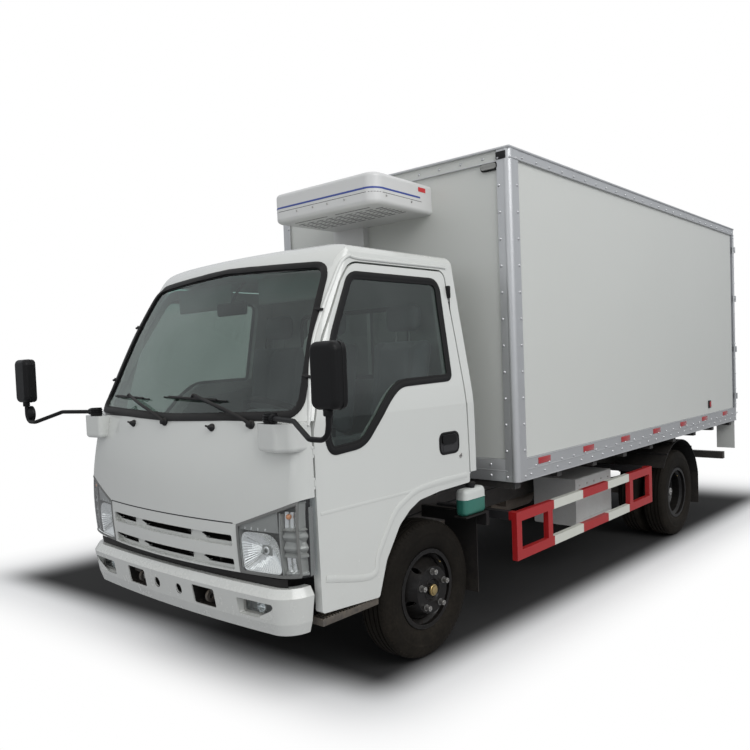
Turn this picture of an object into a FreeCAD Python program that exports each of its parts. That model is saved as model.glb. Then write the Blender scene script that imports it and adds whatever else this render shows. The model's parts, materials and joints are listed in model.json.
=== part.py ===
import FreeCAD, Part
import math
import os
import re
import Sketcher
from types import SimpleNamespace
from FreeCAD import Placement, Rotation, Vector

# A light refrigerated truck: tilting cab, ladder frame, single front and twin rear wheels,
# insulated load box with two rear doors. Front faces -Y, the truck's left is +X, Z is up.
# Every place is measured from the middle of the front axle, on the ground, in millimetres,
# and all pieces are moved back together so that the origin is under the middle of the truck.

SIZES = {
    # wheels and axles
    "wheelbase": 3360,
    "wheel_radius": 380,
    "front_wheel_x": 680,
    "rear_wheel_x": 724,
    "twin_half_pitch": 115,
    "tyre_half_width": 100,
    "tread_half_width": 72,
    "shoulder_drop": 22,
    "shoulder_in": 13,
    "side_bulge_radius": 290,
    "tyre_wall": 16,
    "bead_radius": 206,
    "bead_half_width": 74,
    "rim_lip": 13,
    "rim_lip_width": 8,
    "rim_wall": 9,
    "rim_well": 20,
    "rim_well_slope": 18,
    "front_disc_face": 115,
    "front_disc_root": 28,
    "front_drum_face": 22,
    "hub_recess": 12,
    "hand_hole_pitch": 149,
    "hand_hole_radius": 15,
    "disc_wall": 10,
    "disc_flat_radius": 128,
    "drum_radius": 148,
    "front_drum_inner": 58,
    "drum_wall": 14,
    "hub_radius": 62,
    "hub_cap_radius": 31,
    "front_cap_reach": 116,
    "hub_shoulder": 20,
    "spindle_radius": 28,
    "spindle_clearance": 0.3,
    "spindle_reach": 65,
    "spindle_end_gap": 1,
    "rear_hub_reach": 130,
    "rear_hub_inner": 150,
    # steering
    "kingpin_x": 560,
    "kingpin_radius": 14,
    "kingpin_clearance": 0.4,
    "eye_radius": 30,
    "eye_half_height": 40,
    "yoke_gap": 0.5,
    "yoke_height": 38,
    "yoke_half_width": 30,
    "yoke_back": 40,
    "yoke_wall": 12,
    "backing_wall": 6,
    "backing_radius": 142,
    "axle_beam_bottom": 300,
    "axle_beam_top": 360,
    "axle_beam_half_width": 34,
    "axle_beam_ramp": 60,
    # ladder frame
    "rail_outer_x": 375,
    "rail_flange": 60,
    "rail_wall": 7,
    "rail_bottom": 590,
    "rail_top": 770,
    "rail_front": 1060,
    "rail_rear": 4640,
    "cross_width": 70,
    "cross_bottom": 645,
    "cross_top": 745,
    "pivot_y": 1062,
    "pivot_arm_front": 80,
    "pivot_arm_rear": 120,
    "pivot_z": 600,
    "pivot_radius": 18,
    "pivot_clearance": 0.4,
    "pivot_eye_radius": 30,
    "pivot_eye_width": 30,
    "pivot_lug_width": 42,
    "pivot_lug_half": 24,
    "stay_width": 60,
    "stay_y": 190,
    # engine, shaft and axles
    "engine_half_width": 262,
    "engine_front": 380,
    "engine_rear": 400,
    "engine_bottom": 470,
    "engine_top": 1000,
    "engine_foot_half": 40,
    "gearbox_half_width": 150,
    "gearbox_rear": 1000,
    "gearbox_bottom": 460,
    "gearbox_top": 760,
    "shaft_radius": 42,
    "shaft_front_z": 600,
    "rear_tube_radius": 56,
    "rear_tube_x": 462,
    "rear_spindle_x": 640,
    "banjo_radius": 168,
    "banjo_half_width": 120,
    "rear_drum_inner": 232,
    # springs
    "front_spring_in": 290,
    "front_spring_out": 350,
    "front_spring_half": 560,
    "front_spring_rise": 125,
    "rear_spring_in": 385,
    "rear_spring_out": 445,
    "rear_spring_half": 600,
    "rear_spring_rise": 110,
    "rear_spring_seat": 445,
    "rear_seat_bottom": 400,
    "spring_depth": 52,
    "spring_tip": 14,
    "hanger_half": 32,
    "hanger_top": 660,
    # tank, silver box, exhaust
    "tank_in": 420,
    "tank_out": 780,
    "tank_front": 1100,
    "tank_rear": 1650,
    "tank_bottom": 430,
    "tank_top": 720,
    "tank_round": 60,
    "strap_width": 50,
    "strap_bottom": 640,
    "strap_top": 700,
    "silver_in": 450,
    "silver_out": 800,
    "silver_front": 1680,
    "silver_rear": 2270,
    "silver_bottom": 392,
    "silver_top": 737,
    "silver_round": 12,
    "muffler_x": 190,
    "muffler_z": 540,
    "muffler_radius": 92,
    "muffler_front": 1350,
    "muffler_rear": 1950,
    "pipe_radius": 26,
    "pipe_front": 400,
    "pipe_rear": 2620,
    # reservoir and front flaps
    "bracket_front": 434,
    "bracket_rear": 464,
    "bracket_bottom": 660,
    "bracket_top": 735,
    "bracket_out": 870,
    "tray_wall": 8,
    "reservoir_in": 788,
    "reservoir_out": 868,
    "reservoir_front": 236,
    "reservoir_rear": 446,
    "reservoir_top": 930,
    "reservoir_round": 16,
    "flap_in": 562,
    "flap_out": 800,
    "flap_wall": 6,
    "flap_bottom": 250,
    "flap_top": 728,
    # rear mudguards
    "guard_arc_radius": 470,
    "guard_arc_wall": 6,
    "guard_in": 500,
    "guard_out": 955,
    "guard_front_angle": 35,
    "guard_rear_angle": 14,
    "guard_flap_bottom": 210,
    "guard_arm_place": 290,
    "guard_arm_half": 12,
    "guard_arm_height": 14,
    # side guards
    "side_rail_out": 985,
    "side_rail_wall": 36,
    "side_rail_front": 584,
    "side_rail_rear": 2640,
    "side_rail_bottom": 427,
    "side_rail_top": 718,
    "side_bar_height": 58,
    "side_post_width": 56,
    "side_end_length": 430,
    "side_arm_half": 22,
    "side_arm_drop": 50,
    # underrun bar and lamp panels
    "underrun_half": 905,
    "underrun_front": 4720,
    "underrun_rear": 4780,
    "underrun_bottom": 505,
    "underrun_top": 577,
    "underrun_hanger": 15,
    "underrun_hanger_length": 180,
    "lamp_panel_in": 820,
    "lamp_panel_out": 1000,
    "lamp_panel_bottom": 612,
    "lamp_panel_wall": 8,
    "lamp_panel_back": 20,
    "tail_lamp_bottom": 680,
    "tail_lamp_top": 790,
    "tail_lamp_inset": 14,
    "tail_lamp_reach": 26,
    # load box
    "box_front": 586,
    "box_length": 4250,
    "box_half": 1000,
    "box_top": 2870,
    "floor_top": 1050,
    "floor_step": 12,
    "floor_bottom": 950,
    "wall": 75,
    "runner_top": 860,
    "runner_width": 70,
    "bearer_width": 60,
    "bearer_half": 980,
    "rear_frame_depth": 70,
    "rear_post_width": 55,
    "rear_head_height": 85,
    "edge_wall": 12,
    "bottom_rail_bottom": 902,
    "bottom_rail_top": 1035,
    "edge_height": 60,
    "post_flange": 70,
    # rear doors
    "leaf_gap": 8,
    "leaf_wall": 46,
    "plug_inset": 24,
    "plug_depth": 34,
    "hinge_out": 12,
    "hinge_back": 24,
    "hinge_knuckle": 11,
    "hinge_pin": 6,
    "hinge_clearance": 0.4,
    "hinge_half": 30,
    "hinge_lug": 16,
    "strap_length": 130,
    "strap_wall": 8,
    "strap_off": 7,
    "rod_radius": 12,
    "rod_off": 22,
    "rod_inner": 130,
    "rod_outer": 720,
    "rod_bottom": 965,
    "rod_top": 2845,
    "rod_block": 24,
    "handle_z": 1700,
    "handle_half": 16,
    # fridge unit
    "fridge_front": 20,
    "fridge_front_half": 455,
    "fridge_rear_half": 422,
    "fridge_bottom": 2560,
    "fridge_top": 2745,
    "fridge_round": 75,
    "fridge_edge": 26,
    "cover_in": 140,
    "cover_out": 430,
    "cover_depth": 46,
    "cover_bottom": 1040,
    "coil_half": 560,
    "coil_depth": 460,
    "coil_height": 220,
    # cab form
    "cab_front": 1136,
    "cab_length": 1421,
    "cab_top": 2290,
    "cab_half": 915,
    "cab_sweep": 4310,
    "cab_corner": 75,
    "cab_belt": 1300,
    "cab_side_radius": 1200,
    "cab_side_lean": 9.6,
    "cab_shoulder": 2150,
    "cab_crown": 4800,
    "cab_crown_top": 2288,
    "cab_roof_round": 62,
    "skin": 32,
    "door_skin": 45,
    "glass": 6,
    "glass_back": 6,
    "grille_skin": 44,
    "lamp_depth": 70,
    "cowl_z": 1400,
    "shut_gap": 10,
    "door_axis_x": 911,
    "door_axis_back": 5.955,
    "door_pin_radius": 1.8,
    "door_pin_clearance": 0.2,
    "door_barrel_radius": 3.5,
    "door_lug_height": 12,
    "door_lug_gap": 1,
    "door_hinge_height": 52,
    "door_hinge_low": 1100,
    "door_hinge_high": 1240,
    "rear_pillar_y": 225,
    "rear_wall_bottom": 1012,
    "rear_window_half": 470,
    "rear_window_bottom": 1560,
    "rear_window_top": 1960,
    "rear_window_round": 60,
    "slot_round": 5,
    # grille slots and bumper openings
    "slot_middle_half": 203,
    "slot_side_in": 318,
    "slot_side_out": 508,
    "slot_top_bottom": 845,
    "slot_top_top": 878,
    "slot_low_bottom": 734,
    "slot_low_top": 767,
    "channel_half": 524,
    "channel_depth": 26,
    "channel_below": 14,
    "channel_above": 5,
    "bumper_front": 1132,
    "bumper_rear": 945,
    "bumper_half": 893,
    "bumper_sweep": 9000,
    "bumper_corner": 150,
    "bumper_wall": 6,
    "bumper_lip": 40,
    "bumper_top": 668,
    "bumper_crease": 630,
    "bumper_round": 510,
    "bumper_bottom": 456,
    "bumper_lean": 20,
    "bumper_lean_low": 38,
    "bumper_lean_top": 24,
    "tow_in": 215,
    "tow_out": 385,
    "tow_bottom": 520,
    "tow_top": 612,
    "round_hole_x": 97,
    "round_hole_z": 570,
    "round_hole_radius": 24,
    "fog_in": 548,
    "fog_out": 778,
    "fog_bottom": 527,
    "fog_top": 604,
    "fog_depth": 60,
    "bumper_arm_drop": 62,
    "bumper_arm_bottom": 478,
    "bumper_arm_top": 512,
    # cab floor, steps and liners
    "foot_top": 840,
    "foot_wall": 40,
    "foot_front": 1030,
    "riser_y": 500,
    "seat_deck_top": 1080,
    "floor_half": 862,
    "tunnel_half": 300,
    "pivot_arm_in": 392,
    "step_out": 895,
    "step_in": 640,
    "step_front": 900,
    "step_rear": 545,
    "step_bottom": 476,
    "step_wall": 12,
    "step_lip": 26,
    "liner_out": 862,
    "liner_in": 575,
    "liner_wall": 6,
    "liner_back": 26,
    "liner_tab_x": 700,
    "liner_tab_back": 54.619,
    # dashboard, seats, steering wheel
    "dash_half": 850,
    "driver_x": 400,
    "seat_half": 220,
    "bench_centre": 290,
    "bench_half": 370,
    "cushion_front": 430,
    "cushion_rear": 60,
    "cushion_height": 170,
    "seat_gap": 0.5,
    "back_wall": 140,
    "back_top": 1790,
    "back_lean": 70,
    "head_half": 130,
    "head_height": 170,
    "wheel_y": 780,
    "wheel_z": 1400,
    "wheel_rim": 200,
    "wheel_grip": 13,
    "wheel_tilt": 28,
    "wheel_hub": 60,
    "wheel_hub_height": 46,
    "column_radius": 34,
    "column_length": 170,
    "column_gap": 1,
    # mirrors
    "mirror_x": 1310,
    "mirror_reach": 1240,
    "mirror_z": 1606,
    "mirror_half_width": 72,
    "mirror_half_height": 128,
    "mirror_depth": 62,
    "mirror_round": 34,
    "mirror_edge": 22,
    "mirror_span": 1385,
    "arm_radius": 11,
    "arm_base_x": 775,
    "arm_base_y": 1052,
    "arm_base_z": 1420,
    "arm_turn_x": 1020,
    "arm_turn_y": 1130,
    "arm_low_x": 1200,
    "arm_low_z": 1362,
    "arm_bend": 52,
    "base_radius": 30,
    "base_top": 1442,
    # covers of the mirrors' brackets on the cab's front corners
    "pod_in": 698,
    "pod_out": 908,
    "pod_front": 1086,
    "pod_rear": 960,
    "pod_bottom": 1272,
    "pod_top": 1396,
    "pod_step": 38,
    "pod_round": 24,
    "pod_under": 20,
    # shared values
    "overrun": 400,
}

doc = FreeCAD.newDocument("truck")
dims = doc.addObject("Spreadsheet::Sheet", "dims")
for row, (word, value) in enumerate(SIZES.items(), 1):
    dims.set(f"A{row}", word)
    dims.set(f"B{row}", str(value))
    dims.setAlias(f"B{row}", word)
doc.recompute()
mm = SimpleNamespace(**{word: float(dims.get(word)) for word in SIZES})

# the origin lies midway between the mirrors' fronts and the rear doors' gear
SHIFT = "(mirror_reach - box_front - box_length - hinge_back - hinge_knuckle) / 2"
TURNS = {
    "x": Rotation(Vector(0, 1, 0), 90),
    "y": Rotation(Vector(1, 0, 0), -90),
    "z": Rotation(),
}
UP = Vector(0, 0, 1)
kept = []


def words(text):
    """The text of a size, with each word named in the sheet of sizes."""
    return re.sub(r"[a-z][a-z_]*", lambda found: "dims." + found.group(0), text)


def keep(node, piece):
    """Name a finished sub-part and move it from the front axle to the truck's own origin."""
    piece.Label = node
    placed = [text for path, text in piece.ExpressionEngine if path.endswith("Placement.Base.y")]
    piece.setExpression("Placement.Base.y", " + ".join([words(SHIFT)] + placed))
    kept.append((node, piece))
    return piece


def block(x, y, z):
    """A rectangular bar between two places on each axis, each place a sum of sheet words."""
    piece = doc.addObject("Part::Box", "Block")
    for size, axis, (low, high) in (("Length", "x", x), ("Width", "y", y), ("Height", "z", z)):
        piece.setExpression(size, words(f"({high}) - ({low})"))
        piece.setExpression(f"Placement.Base.{axis}", words(low))
    return piece


def rod(axis, radius, x, y, z, length):
    """A round bar from a start point along one axis."""
    piece = doc.addObject("Part::Cylinder", "Rod")
    piece.Placement = Placement(Vector(), TURNS[axis])
    piece.setExpression("Radius", words(radius))
    piece.setExpression("Height", words(length))
    for name, place in (("x", x), ("y", y), ("z", z)):
        piece.setExpression(f"Placement.Base.{name}", words(place))
    return piece


def side(sign, near, far):
    """The two places on X of a piece on the left (1) or the right (-1)."""
    return (near, far) if sign > 0 else (f"-({far})", f"-({near})")


def join(pieces, name="Join"):
    """One solid of pieces that meet."""
    piece = doc.addObject("Part::MultiFuse", name)
    piece.Shapes = pieces
    return piece


def cut(base, tools):
    """A piece with the tools taken away from it."""
    piece = doc.addObject("Part::Cut", "Cut")
    piece.Base = base
    piece.Tool = tools[0] if len(tools) == 1 else join(tools)
    return piece


def group(pieces):
    """Like pieces that don't touch, kept in one sub-part."""
    piece = doc.addObject("Part::Compound", "Group")
    piece.Links = pieces
    return piece


def shaped(shape):
    """A piece whose form is worked out from the sheet in this file."""
    piece = doc.addObject("Part::Feature", "Shaped")
    piece.Shape = Part.makeCompound([shape])
    return piece


def plane_of(body, role):
    """One of a body's own origin planes or axes."""
    return next(item for item in body.Origin.OriginFeatures if item.Role == role)


def draw(body, role, points, offset="0"):
    """A closed outline of straight lines whose corners are bound to the sheet."""
    sketch = body.newObject("Sketcher::SketchObject", "Outline")
    sketch.AttachmentSupport = [(plane_of(body, role), "")]
    sketch.MapMode = "FlatFace"
    sketch.setExpression("AttachmentOffset.Base.z", words(offset))
    count = len(points)
    turns = [math.tau * index / count for index in range(count)]
    ends = [Vector(mm.overrun * math.cos(turn), mm.overrun * math.sin(turn)) for turn in turns]
    for index in range(count):
        sketch.addGeometry(Part.LineSegment(ends[index], ends[(index + 1) % count]), False)
    for index, (across, along) in enumerate(points):
        sketch.addConstraint(Sketcher.Constraint("Coincident", index, 2, (index + 1) % count, 1))
        for kind, value, text in (("DistanceX", ends[index].x, across),
                                  ("DistanceY", ends[index].y, along)):
            spot = sketch.addConstraint(Sketcher.Constraint(kind, -1, 1, index, 1, value))
            sketch.setExpression(f"Constraints[{spot}]", words(text))
    return sketch


def lathe(points):
    """A turned piece about X: its outline gives places along X and radii."""
    body = doc.addObject("PartDesign::Body", "Body")
    sketch = draw(body, "XY_Plane", points)
    turned = body.newObject("PartDesign::Revolution", "Turned")
    turned.Profile = sketch
    turned.ReferenceAxis = (sketch, ["H_Axis"])
    turned.Angle = 360
    return body


def place(piece, x, y, z):
    """Put a body's own origin at a place."""
    for name, text in (("x", x), ("y", y), ("z", z)):
        piece.setExpression(f"Placement.Base.{name}", words(text))
    return piece


def corner_points(points, radii):
    """Edges of a closed outline whose corners are rounded by tangent arcs."""
    count = len(points)
    ends = []
    for index, point in enumerate(points):
        back = (points[index - 1] - point).normalize()
        ahead = (points[(index + 1) % count] - point).normalize()
        radius = radii[index]
        half = back.getAngle(ahead) / 2
        reach = radius / math.tan(half) if radius else 0
        middle = point
        if radius:
            centre = point + (back + ahead).normalize() * (radius / math.sin(half))
            middle = centre + (point - centre).normalize() * radius
        ends.append((point + back * reach, middle, point + ahead * reach, radius))
    edges = []
    for index, (start, middle, stop, radius) in enumerate(ends):
        if radius:
            edges.append(Part.Arc(start, middle, stop).toShape())
        following = ends[(index + 1) % count][0]
        if stop.distanceToPoint(following) > 0:
            edges.append(Part.makeLine(stop, following))
    return edges


def rounded_face(points, radii):
    """A flat face with rounded corners; one radius may serve all of them."""
    spread = radii if isinstance(radii, list) else [radii] * len(points)
    return Part.Face(Part.Wire(corner_points(points, spread)))


def mirrored(shape):
    """The same piece on the other side of the truck."""
    return shape.mirror(Vector(), Vector(1, 0, 0))


# Cab form: horizontal sections with a curved front and rounded corners, closed by a crowned roof.
# Front places are shares of the cab's length from its foremost point, heights are shares of its top.
LOWER_FRONT_SHARES = [(0.022, 0.218), (0.01, 0.306), (0.0, 0.393), (0.013, 0.502), (0.048, 0.611)]
UPPER_FRONT_SHARES = [(0.048, 0.611), (0.086, 0.655), (0.17, 0.771), (0.306, 0.925), (0.395, 1.018)]
ROOF_SHARES = [(0.306, 0.925), (0.363, 0.966), (0.448, 0.986), (0.553, 0.996), (0.659, 1.0)]
SCREEN_LEAN_SHARE = 1.13
CORNER_INSET_SHARE = 0.5
ROOF_BACK_SHARE = 0.45
ROOF_FRONT_SHARES = (0.162, 0.116)
SHOULDER_SPAN_SHARE = 0.225
SHOULDER_RISE_SHARE = 0.65
DOOR_SHARES = [
    (0.152, 0.236), (0.145, 0.47), (0.1465, 0.59), (0.243, 0.766), (0.364, 0.891), (0.42, 0.932),
    (0.938, 0.934), (0.955, 0.417), (0.761, 0.414), (0.643, 0.406), (0.586, 0.39), (0.529, 0.363),
    (0.455, 0.297), (0.413, 0.224),
]
DOOR_ROUND_SHARES = [0.01, 0, 0.1, 0.3, 0.1, 0.08, 0.03, 0.01, 0, 0.06, 0.05, 0.06, 0.05, 0.01]
WINDOW_SHARES = [
    (0.866, 0.677), (0.885, 0.906), (0.412, 0.905), (0.272, 0.757), (0.205, 0.574), (0.221, 0.548),
    (0.363, 0.554), (0.507, 0.645), (0.573, 0.672),
]
WINDOW_ROUND_SHARES = [0.02, 0.045, 0.06, 0.2, 0.02, 0.02, 0.06, 0.1, 0.06]
# Outlines seen from the front: shares of the cab's half width, and of its top.
SCREEN_SHARES = [(0.931, 0.626), (0.795, 0.925), (0.0, 0.939), (-0.795, 0.925), (-0.931, 0.626), (0.0,
    0.617)]
SCREEN_ROUND_SHARES = [0.05, 0.06, 0, 0.06, 0.05, 0]
LAMP_SHARES = [(0.608, 0.311), (0.608, 0.409), (0.891, 0.449), (1.03, 0.47), (1.03, 0.317), (0.877, 0.311)]
PANEL_SHARES = [
    (0.608, 0.40915), (0.891, 0.44915), (1.03, 0.47015), (1.03, 0.611), (-1.03, 0.611), (-1.03, 0.47015),
    (-0.891, 0.44915), (-0.608, 0.40915),
]
GRILLE_SHARES = [(0.608, 0.311), (0.608, 0.409), (-0.608, 0.409), (-0.608, 0.311)]


def cab_y(share):
    return mm.cab_length * share - mm.cab_front


def cab_z(share):
    return mm.cab_top * share


def flip(point):
    return Vector(-point.x, point.y, point.z)


def half_width(height):
    """Half the cab's width at a height: upright, a large arc at the belt, then leaning in."""
    lean = math.radians(mm.cab_side_lean)
    rise = max(0, height - mm.cab_belt)
    bend = mm.cab_side_radius * math.sin(lean)
    if rise > bend:
        return mm.cab_half - mm.cab_side_radius * (1 - math.cos(lean)) - (rise - bend) * math.tan(lean)
    return mm.cab_half - mm.cab_side_radius + math.sqrt(mm.cab_side_radius**2 - rise**2)


def cab_section(share, inset, lean):
    """One horizontal section of the cab, or of the form that lies inset inside it."""
    height = cab_z(share[1])
    width = half_width(height) - inset
    nose = cab_y(share[0]) + inset * lean
    sweep = mm.cab_sweep - inset
    corner = mm.cab_corner - inset * CORNER_INSET_SHARE
    centre = Vector(0, nose + sweep, height)
    corner_y = centre.y - math.sqrt((sweep - corner) ** 2 - (width - corner) ** 2)
    middle = Vector(width - corner, corner_y, height)
    outward = (middle - centre).normalize()
    start = centre + outward * sweep
    bend = middle + (outward + Vector(1, 0, 0)).normalize() * corner
    stop = Vector(width, corner_y, height)
    back = Vector(width, mm.cab_length - mm.cab_front - inset, height)
    return Part.Wire([
        Part.Arc(flip(start), Vector(0, nose, height), start).toShape(),
        Part.Arc(start, bend, stop).toShape(),
        Part.makeLine(stop, back),
        Part.makeLine(back, flip(back)),
        Part.makeLine(flip(back), flip(stop)),
        Part.Arc(flip(stop), flip(bend), flip(start)).toShape(),
    ])


def roof_form(inset):
    """Everything under the roof line, swept round the same wide curve as the windscreen."""
    drop = Vector(0, ROOF_BACK_SHARE * inset, -inset)
    lip, lip_bend, top, top_bend, flat = [Vector(0, cab_y(y), cab_z(z)) + drop for y, z in ROOF_SHARES]
    ahead = lip - Vector(0, mm.cab_length * ROOF_FRONT_SHARES[0], mm.cab_top * ROOF_FRONT_SHARES[1])
    front = Vector(0, -mm.cab_front - mm.overrun, mm.cab_belt)
    far = Vector(0, mm.cab_length, flat.z)
    edges = [
        Part.makeLine(Vector(0, front.y, 0), front),
        Part.makeLine(front, ahead),
        Part.makeLine(ahead, lip),
        Part.Arc(lip, lip_bend, top).toShape(),
        Part.Arc(top, top_bend, flat).toShape(),
        Part.makeLine(flat, far),
        Part.makeLine(far, Vector(0, far.y, 0)),
        Part.makeLine(Vector(0, far.y, 0), Vector(0, front.y, 0)),
    ]
    face = Part.Face(Part.Wire(edges))
    axis = Vector(0, mm.cab_sweep - mm.cab_front, 0)
    spread = math.degrees(math.asin((mm.cab_half + mm.overrun) / mm.cab_sweep))
    face.rotate(axis, UP, -spread)
    return face.revolve(axis, UP, 2 * spread)


def crown_form(inset):
    """Everything under the roof's crown, as seen from the front."""
    shoulder = Vector(half_width(mm.cab_shoulder) - inset, 0, mm.cab_shoulder)
    belt = Vector(mm.cab_half - inset, 0, mm.cab_belt)
    lean = math.radians(mm.cab_side_lean)
    bend_z = mm.cab_belt + mm.cab_side_radius * math.sin(lean / 2)
    bend = Vector(half_width(bend_z) - inset, 0, bend_z)
    waist_z = mm.cab_belt + mm.cab_side_radius * math.sin(lean)
    waist = Vector(half_width(waist_z) - inset, 0, waist_z)
    edge_x = shoulder.x - mm.cab_roof_round
    sag = mm.cab_crown - math.sqrt(mm.cab_crown**2 - edge_x**2)
    edge = Vector(edge_x, 0, mm.cab_crown_top - inset - sag)
    reach = SHOULDER_SPAN_SHARE * mm.cab_roof_round
    turn = Vector(shoulder.x - reach, 0, shoulder.z + (edge.z - shoulder.z) * SHOULDER_RISE_SHARE)
    top = Vector(0, 0, mm.cab_crown_top - inset)
    low = Vector(belt.x, 0, 0)
    edges = [
        Part.makeLine(low, belt),
        Part.Arc(belt, bend, waist).toShape(),
        Part.makeLine(waist, shoulder),
        Part.Arc(shoulder, turn, edge).toShape(),
        Part.Arc(edge, top, flip(edge)).toShape(),
        Part.Arc(flip(edge), flip(turn), flip(shoulder)).toShape(),
        Part.makeLine(flip(shoulder), flip(waist)),
        Part.Arc(flip(waist), flip(bend), flip(belt)).toShape(),
        Part.makeLine(flip(belt), flip(low)),
        Part.makeLine(flip(low), low),
    ]
    face = Part.Face(Part.Wire(edges))
    face.translate(Vector(0, -mm.cab_front - mm.overrun, 0))
    return face.extrude(Vector(0, mm.cab_length + 2 * mm.overrun, 0))


def cab_form(inset):
    """The cab's outer form as one solid, or the form that lies inset inside it."""
    lower = Part.makeLoft([cab_section(share, inset, 1) for share in LOWER_FRONT_SHARES], True, False)
    upper = Part.makeLoft(
        [cab_section(share, inset, SCREEN_LEAN_SHARE) for share in UPPER_FRONT_SHARES], True, False)
    return lower.fuse(upper).common(roof_form(inset)).common(crown_form(inset))


def side_prism(points, radii, gap=0):
    """A bar along +X with an outline given on the truck's left side, grown by a gap."""
    face = rounded_face(points, radii)
    if gap:
        face = face.makeOffset2D(gap)
    face.translate(Vector(mm.cab_half - mm.overrun, 0, 0))
    return face.extrude(Vector(2 * mm.overrun, 0, 0))


def front_prism(points, radii):
    """A bar along Y through the cab's front with an outline seen from the front."""
    face = rounded_face(points, radii)
    face.translate(Vector(0, -mm.cab_front - mm.overrun, 0))
    return face.extrude(Vector(0, mm.overrun + mm.cab_length / 2, 0))


def side_points(shares):
    return [Vector(0, cab_y(y), cab_z(z)) for y, z in shares]


def front_points(shares):
    return [Vector(mm.cab_half * x, 0, cab_z(z)) for x, z in shares]


def span(x_low, x_high, y_low, y_high, z_low, z_high):
    """A plain region of space, used to part one form from the next."""
    size = Vector(x_high - x_low, y_high - y_low, z_high - z_low)
    return Part.makeBox(size.x, size.y, size.z, Vector(x_low, y_low, z_low))


outer = cab_form(0)
skin = outer.cut(cab_form(mm.skin))
door_radii = [share * mm.cab_length for share in DOOR_ROUND_SHARES]
window_radii = [share * mm.cab_length for share in WINDOW_ROUND_SHARES]
door_opening = side_prism(side_points(DOOR_SHARES), door_radii, mm.shut_gap)
door_blank = side_prism(side_points(DOOR_SHARES), door_radii)
window_hole = side_prism(side_points(WINDOW_SHARES), window_radii)
screen_radii = [share * mm.cab_length for share in SCREEN_ROUND_SHARES]
screen_hole = front_prism(front_points(SCREEN_SHARES), screen_radii)
skin = skin.cut([door_opening, mirrored(door_opening), screen_hole])
wide = mm.cab_half + mm.overrun
ahead = -mm.cab_front - mm.overrun
behind = mm.cab_length - mm.cab_front + mm.overrun
above = mm.cab_top + mm.overrun

roof = skin.common(span(-wide, wide, ahead, behind, mm.cab_shoulder, above))
keep("cab_roof", shaped(roof))
rear_zone = span(-wide, wide, mm.rear_pillar_y, behind, mm.rear_wall_bottom, mm.cab_shoulder)
rear_corners = [
    Vector(mm.rear_window_half, 0, mm.rear_window_bottom), Vector(mm.rear_window_half, 0,
        mm.rear_window_top),
    Vector(-mm.rear_window_half, 0, mm.rear_window_top), Vector(-mm.rear_window_half, 0,
        mm.rear_window_bottom),
]
rear_hole = rounded_face(rear_corners, mm.rear_window_round).extrude(Vector(0, mm.cab_length, 0))
keep("cab_rear_wall", shaped(skin.common(rear_zone).cut(rear_hole)))
rear_glass = rounded_face(rear_corners, mm.rear_window_round)
rear_glass.translate(Vector(0, mm.cab_length - mm.cab_front - mm.skin / 2, 0))
rear_glass = rear_glass.extrude(Vector(0, mm.glass, 0))
frame_zone = span(-wide, wide, ahead, mm.rear_pillar_y, mm.cowl_z, mm.cab_shoulder)
keep("cab_windscreen_frame", shaped(skin.common(frame_zone)))
panel_zone = front_prism(front_points(PANEL_SHARES), 0)
door_front = cab_y(DOOR_SHARES[1][0]) - mm.shut_gap
door_axis_y = door_front + mm.door_axis_back
panel_limit = span(-wide, wide, ahead, door_front, 0, mm.cowl_z)


def hinge_lug(low, high, edge):
    """A hinge lug from the edge of a door or panel to the round barrel on the door's axis."""
    radius = mm.door_barrel_radius
    barrel = Part.makeCylinder(radius, high - low, Vector(mm.door_axis_x, door_axis_y, low))
    near, far = sorted((door_axis_y, edge))
    return barrel.fuse(span(mm.door_axis_x - radius, mm.door_axis_x + radius, near, far, low, high))


panel_lugs = []
door_lugs = []
lug_reach = mm.shut_gap + mm.door_barrel_radius
for low in (mm.door_hinge_low, mm.door_hinge_high):
    high = low + mm.door_hinge_height
    pin_place = Vector(mm.door_axis_x, door_axis_y, low)
    panel_lugs.append(Part.makeCylinder(mm.door_pin_radius, mm.door_hinge_height, pin_place))
    panel_lugs.append(hinge_lug(low, low + mm.door_lug_height, door_axis_y - lug_reach))
    panel_lugs.append(hinge_lug(high - mm.door_lug_height, high, door_axis_y - lug_reach))
    inner_low = low + mm.door_lug_height + mm.door_lug_gap
    inner_high = high - mm.door_lug_height - mm.door_lug_gap
    bore = Part.makeCylinder(mm.door_pin_radius + mm.door_pin_clearance, mm.door_hinge_height, pin_place)
    door_lugs.append(hinge_lug(inner_low, inner_high, door_axis_y + lug_reach).cut(bore))
plan = [
    Vector(mm.pod_in, -mm.pod_rear, 0),
    Vector(mm.pod_in, mm.pod_round / 2 - mm.pod_front, 0),
    Vector(mm.pod_out - 2 * mm.pod_step, -mm.pod_front, 0),
    Vector(mm.pod_out, mm.pod_step - mm.pod_front, 0),
    Vector(mm.pod_out, -mm.pod_rear, 0),
]
cover = rounded_face(plan, [0, mm.pod_round, mm.pod_step, mm.pod_step, 0])
cover.translate(Vector(0, 0, mm.pod_bottom))
cover = cover.extrude(Vector(0, 0, mm.pod_top - mm.pod_bottom))
foot_edges = [
    edge for edge in cover.Edges
    if edge.BoundBox.ZMax < mm.pod_bottom + mm.glass and edge.BoundBox.YMin < -mm.pod_rear - mm.glass
]
cover = cover.makeFillet(mm.pod_under, foot_edges).cut(cab_form(mm.skin / 2))
cover = max(cover.Solids, key=lambda solid: -solid.BoundBox.YMin)
panel = skin.common(panel_zone).common(panel_limit)
left_parts = panel_lugs + [cover]
keep("cab_front_panel", shaped(panel.fuse(left_parts + [mirrored(part) for part in left_parts])))
glass_layer = cab_form(mm.glass_back).cut(cab_form(mm.glass_back + mm.glass))
keep("cab_glass", shaped(Part.makeCompound([glass_layer.common(screen_hole), rear_glass])))
lamp_layer = outer.cut(cab_form(mm.lamp_depth))
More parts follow.
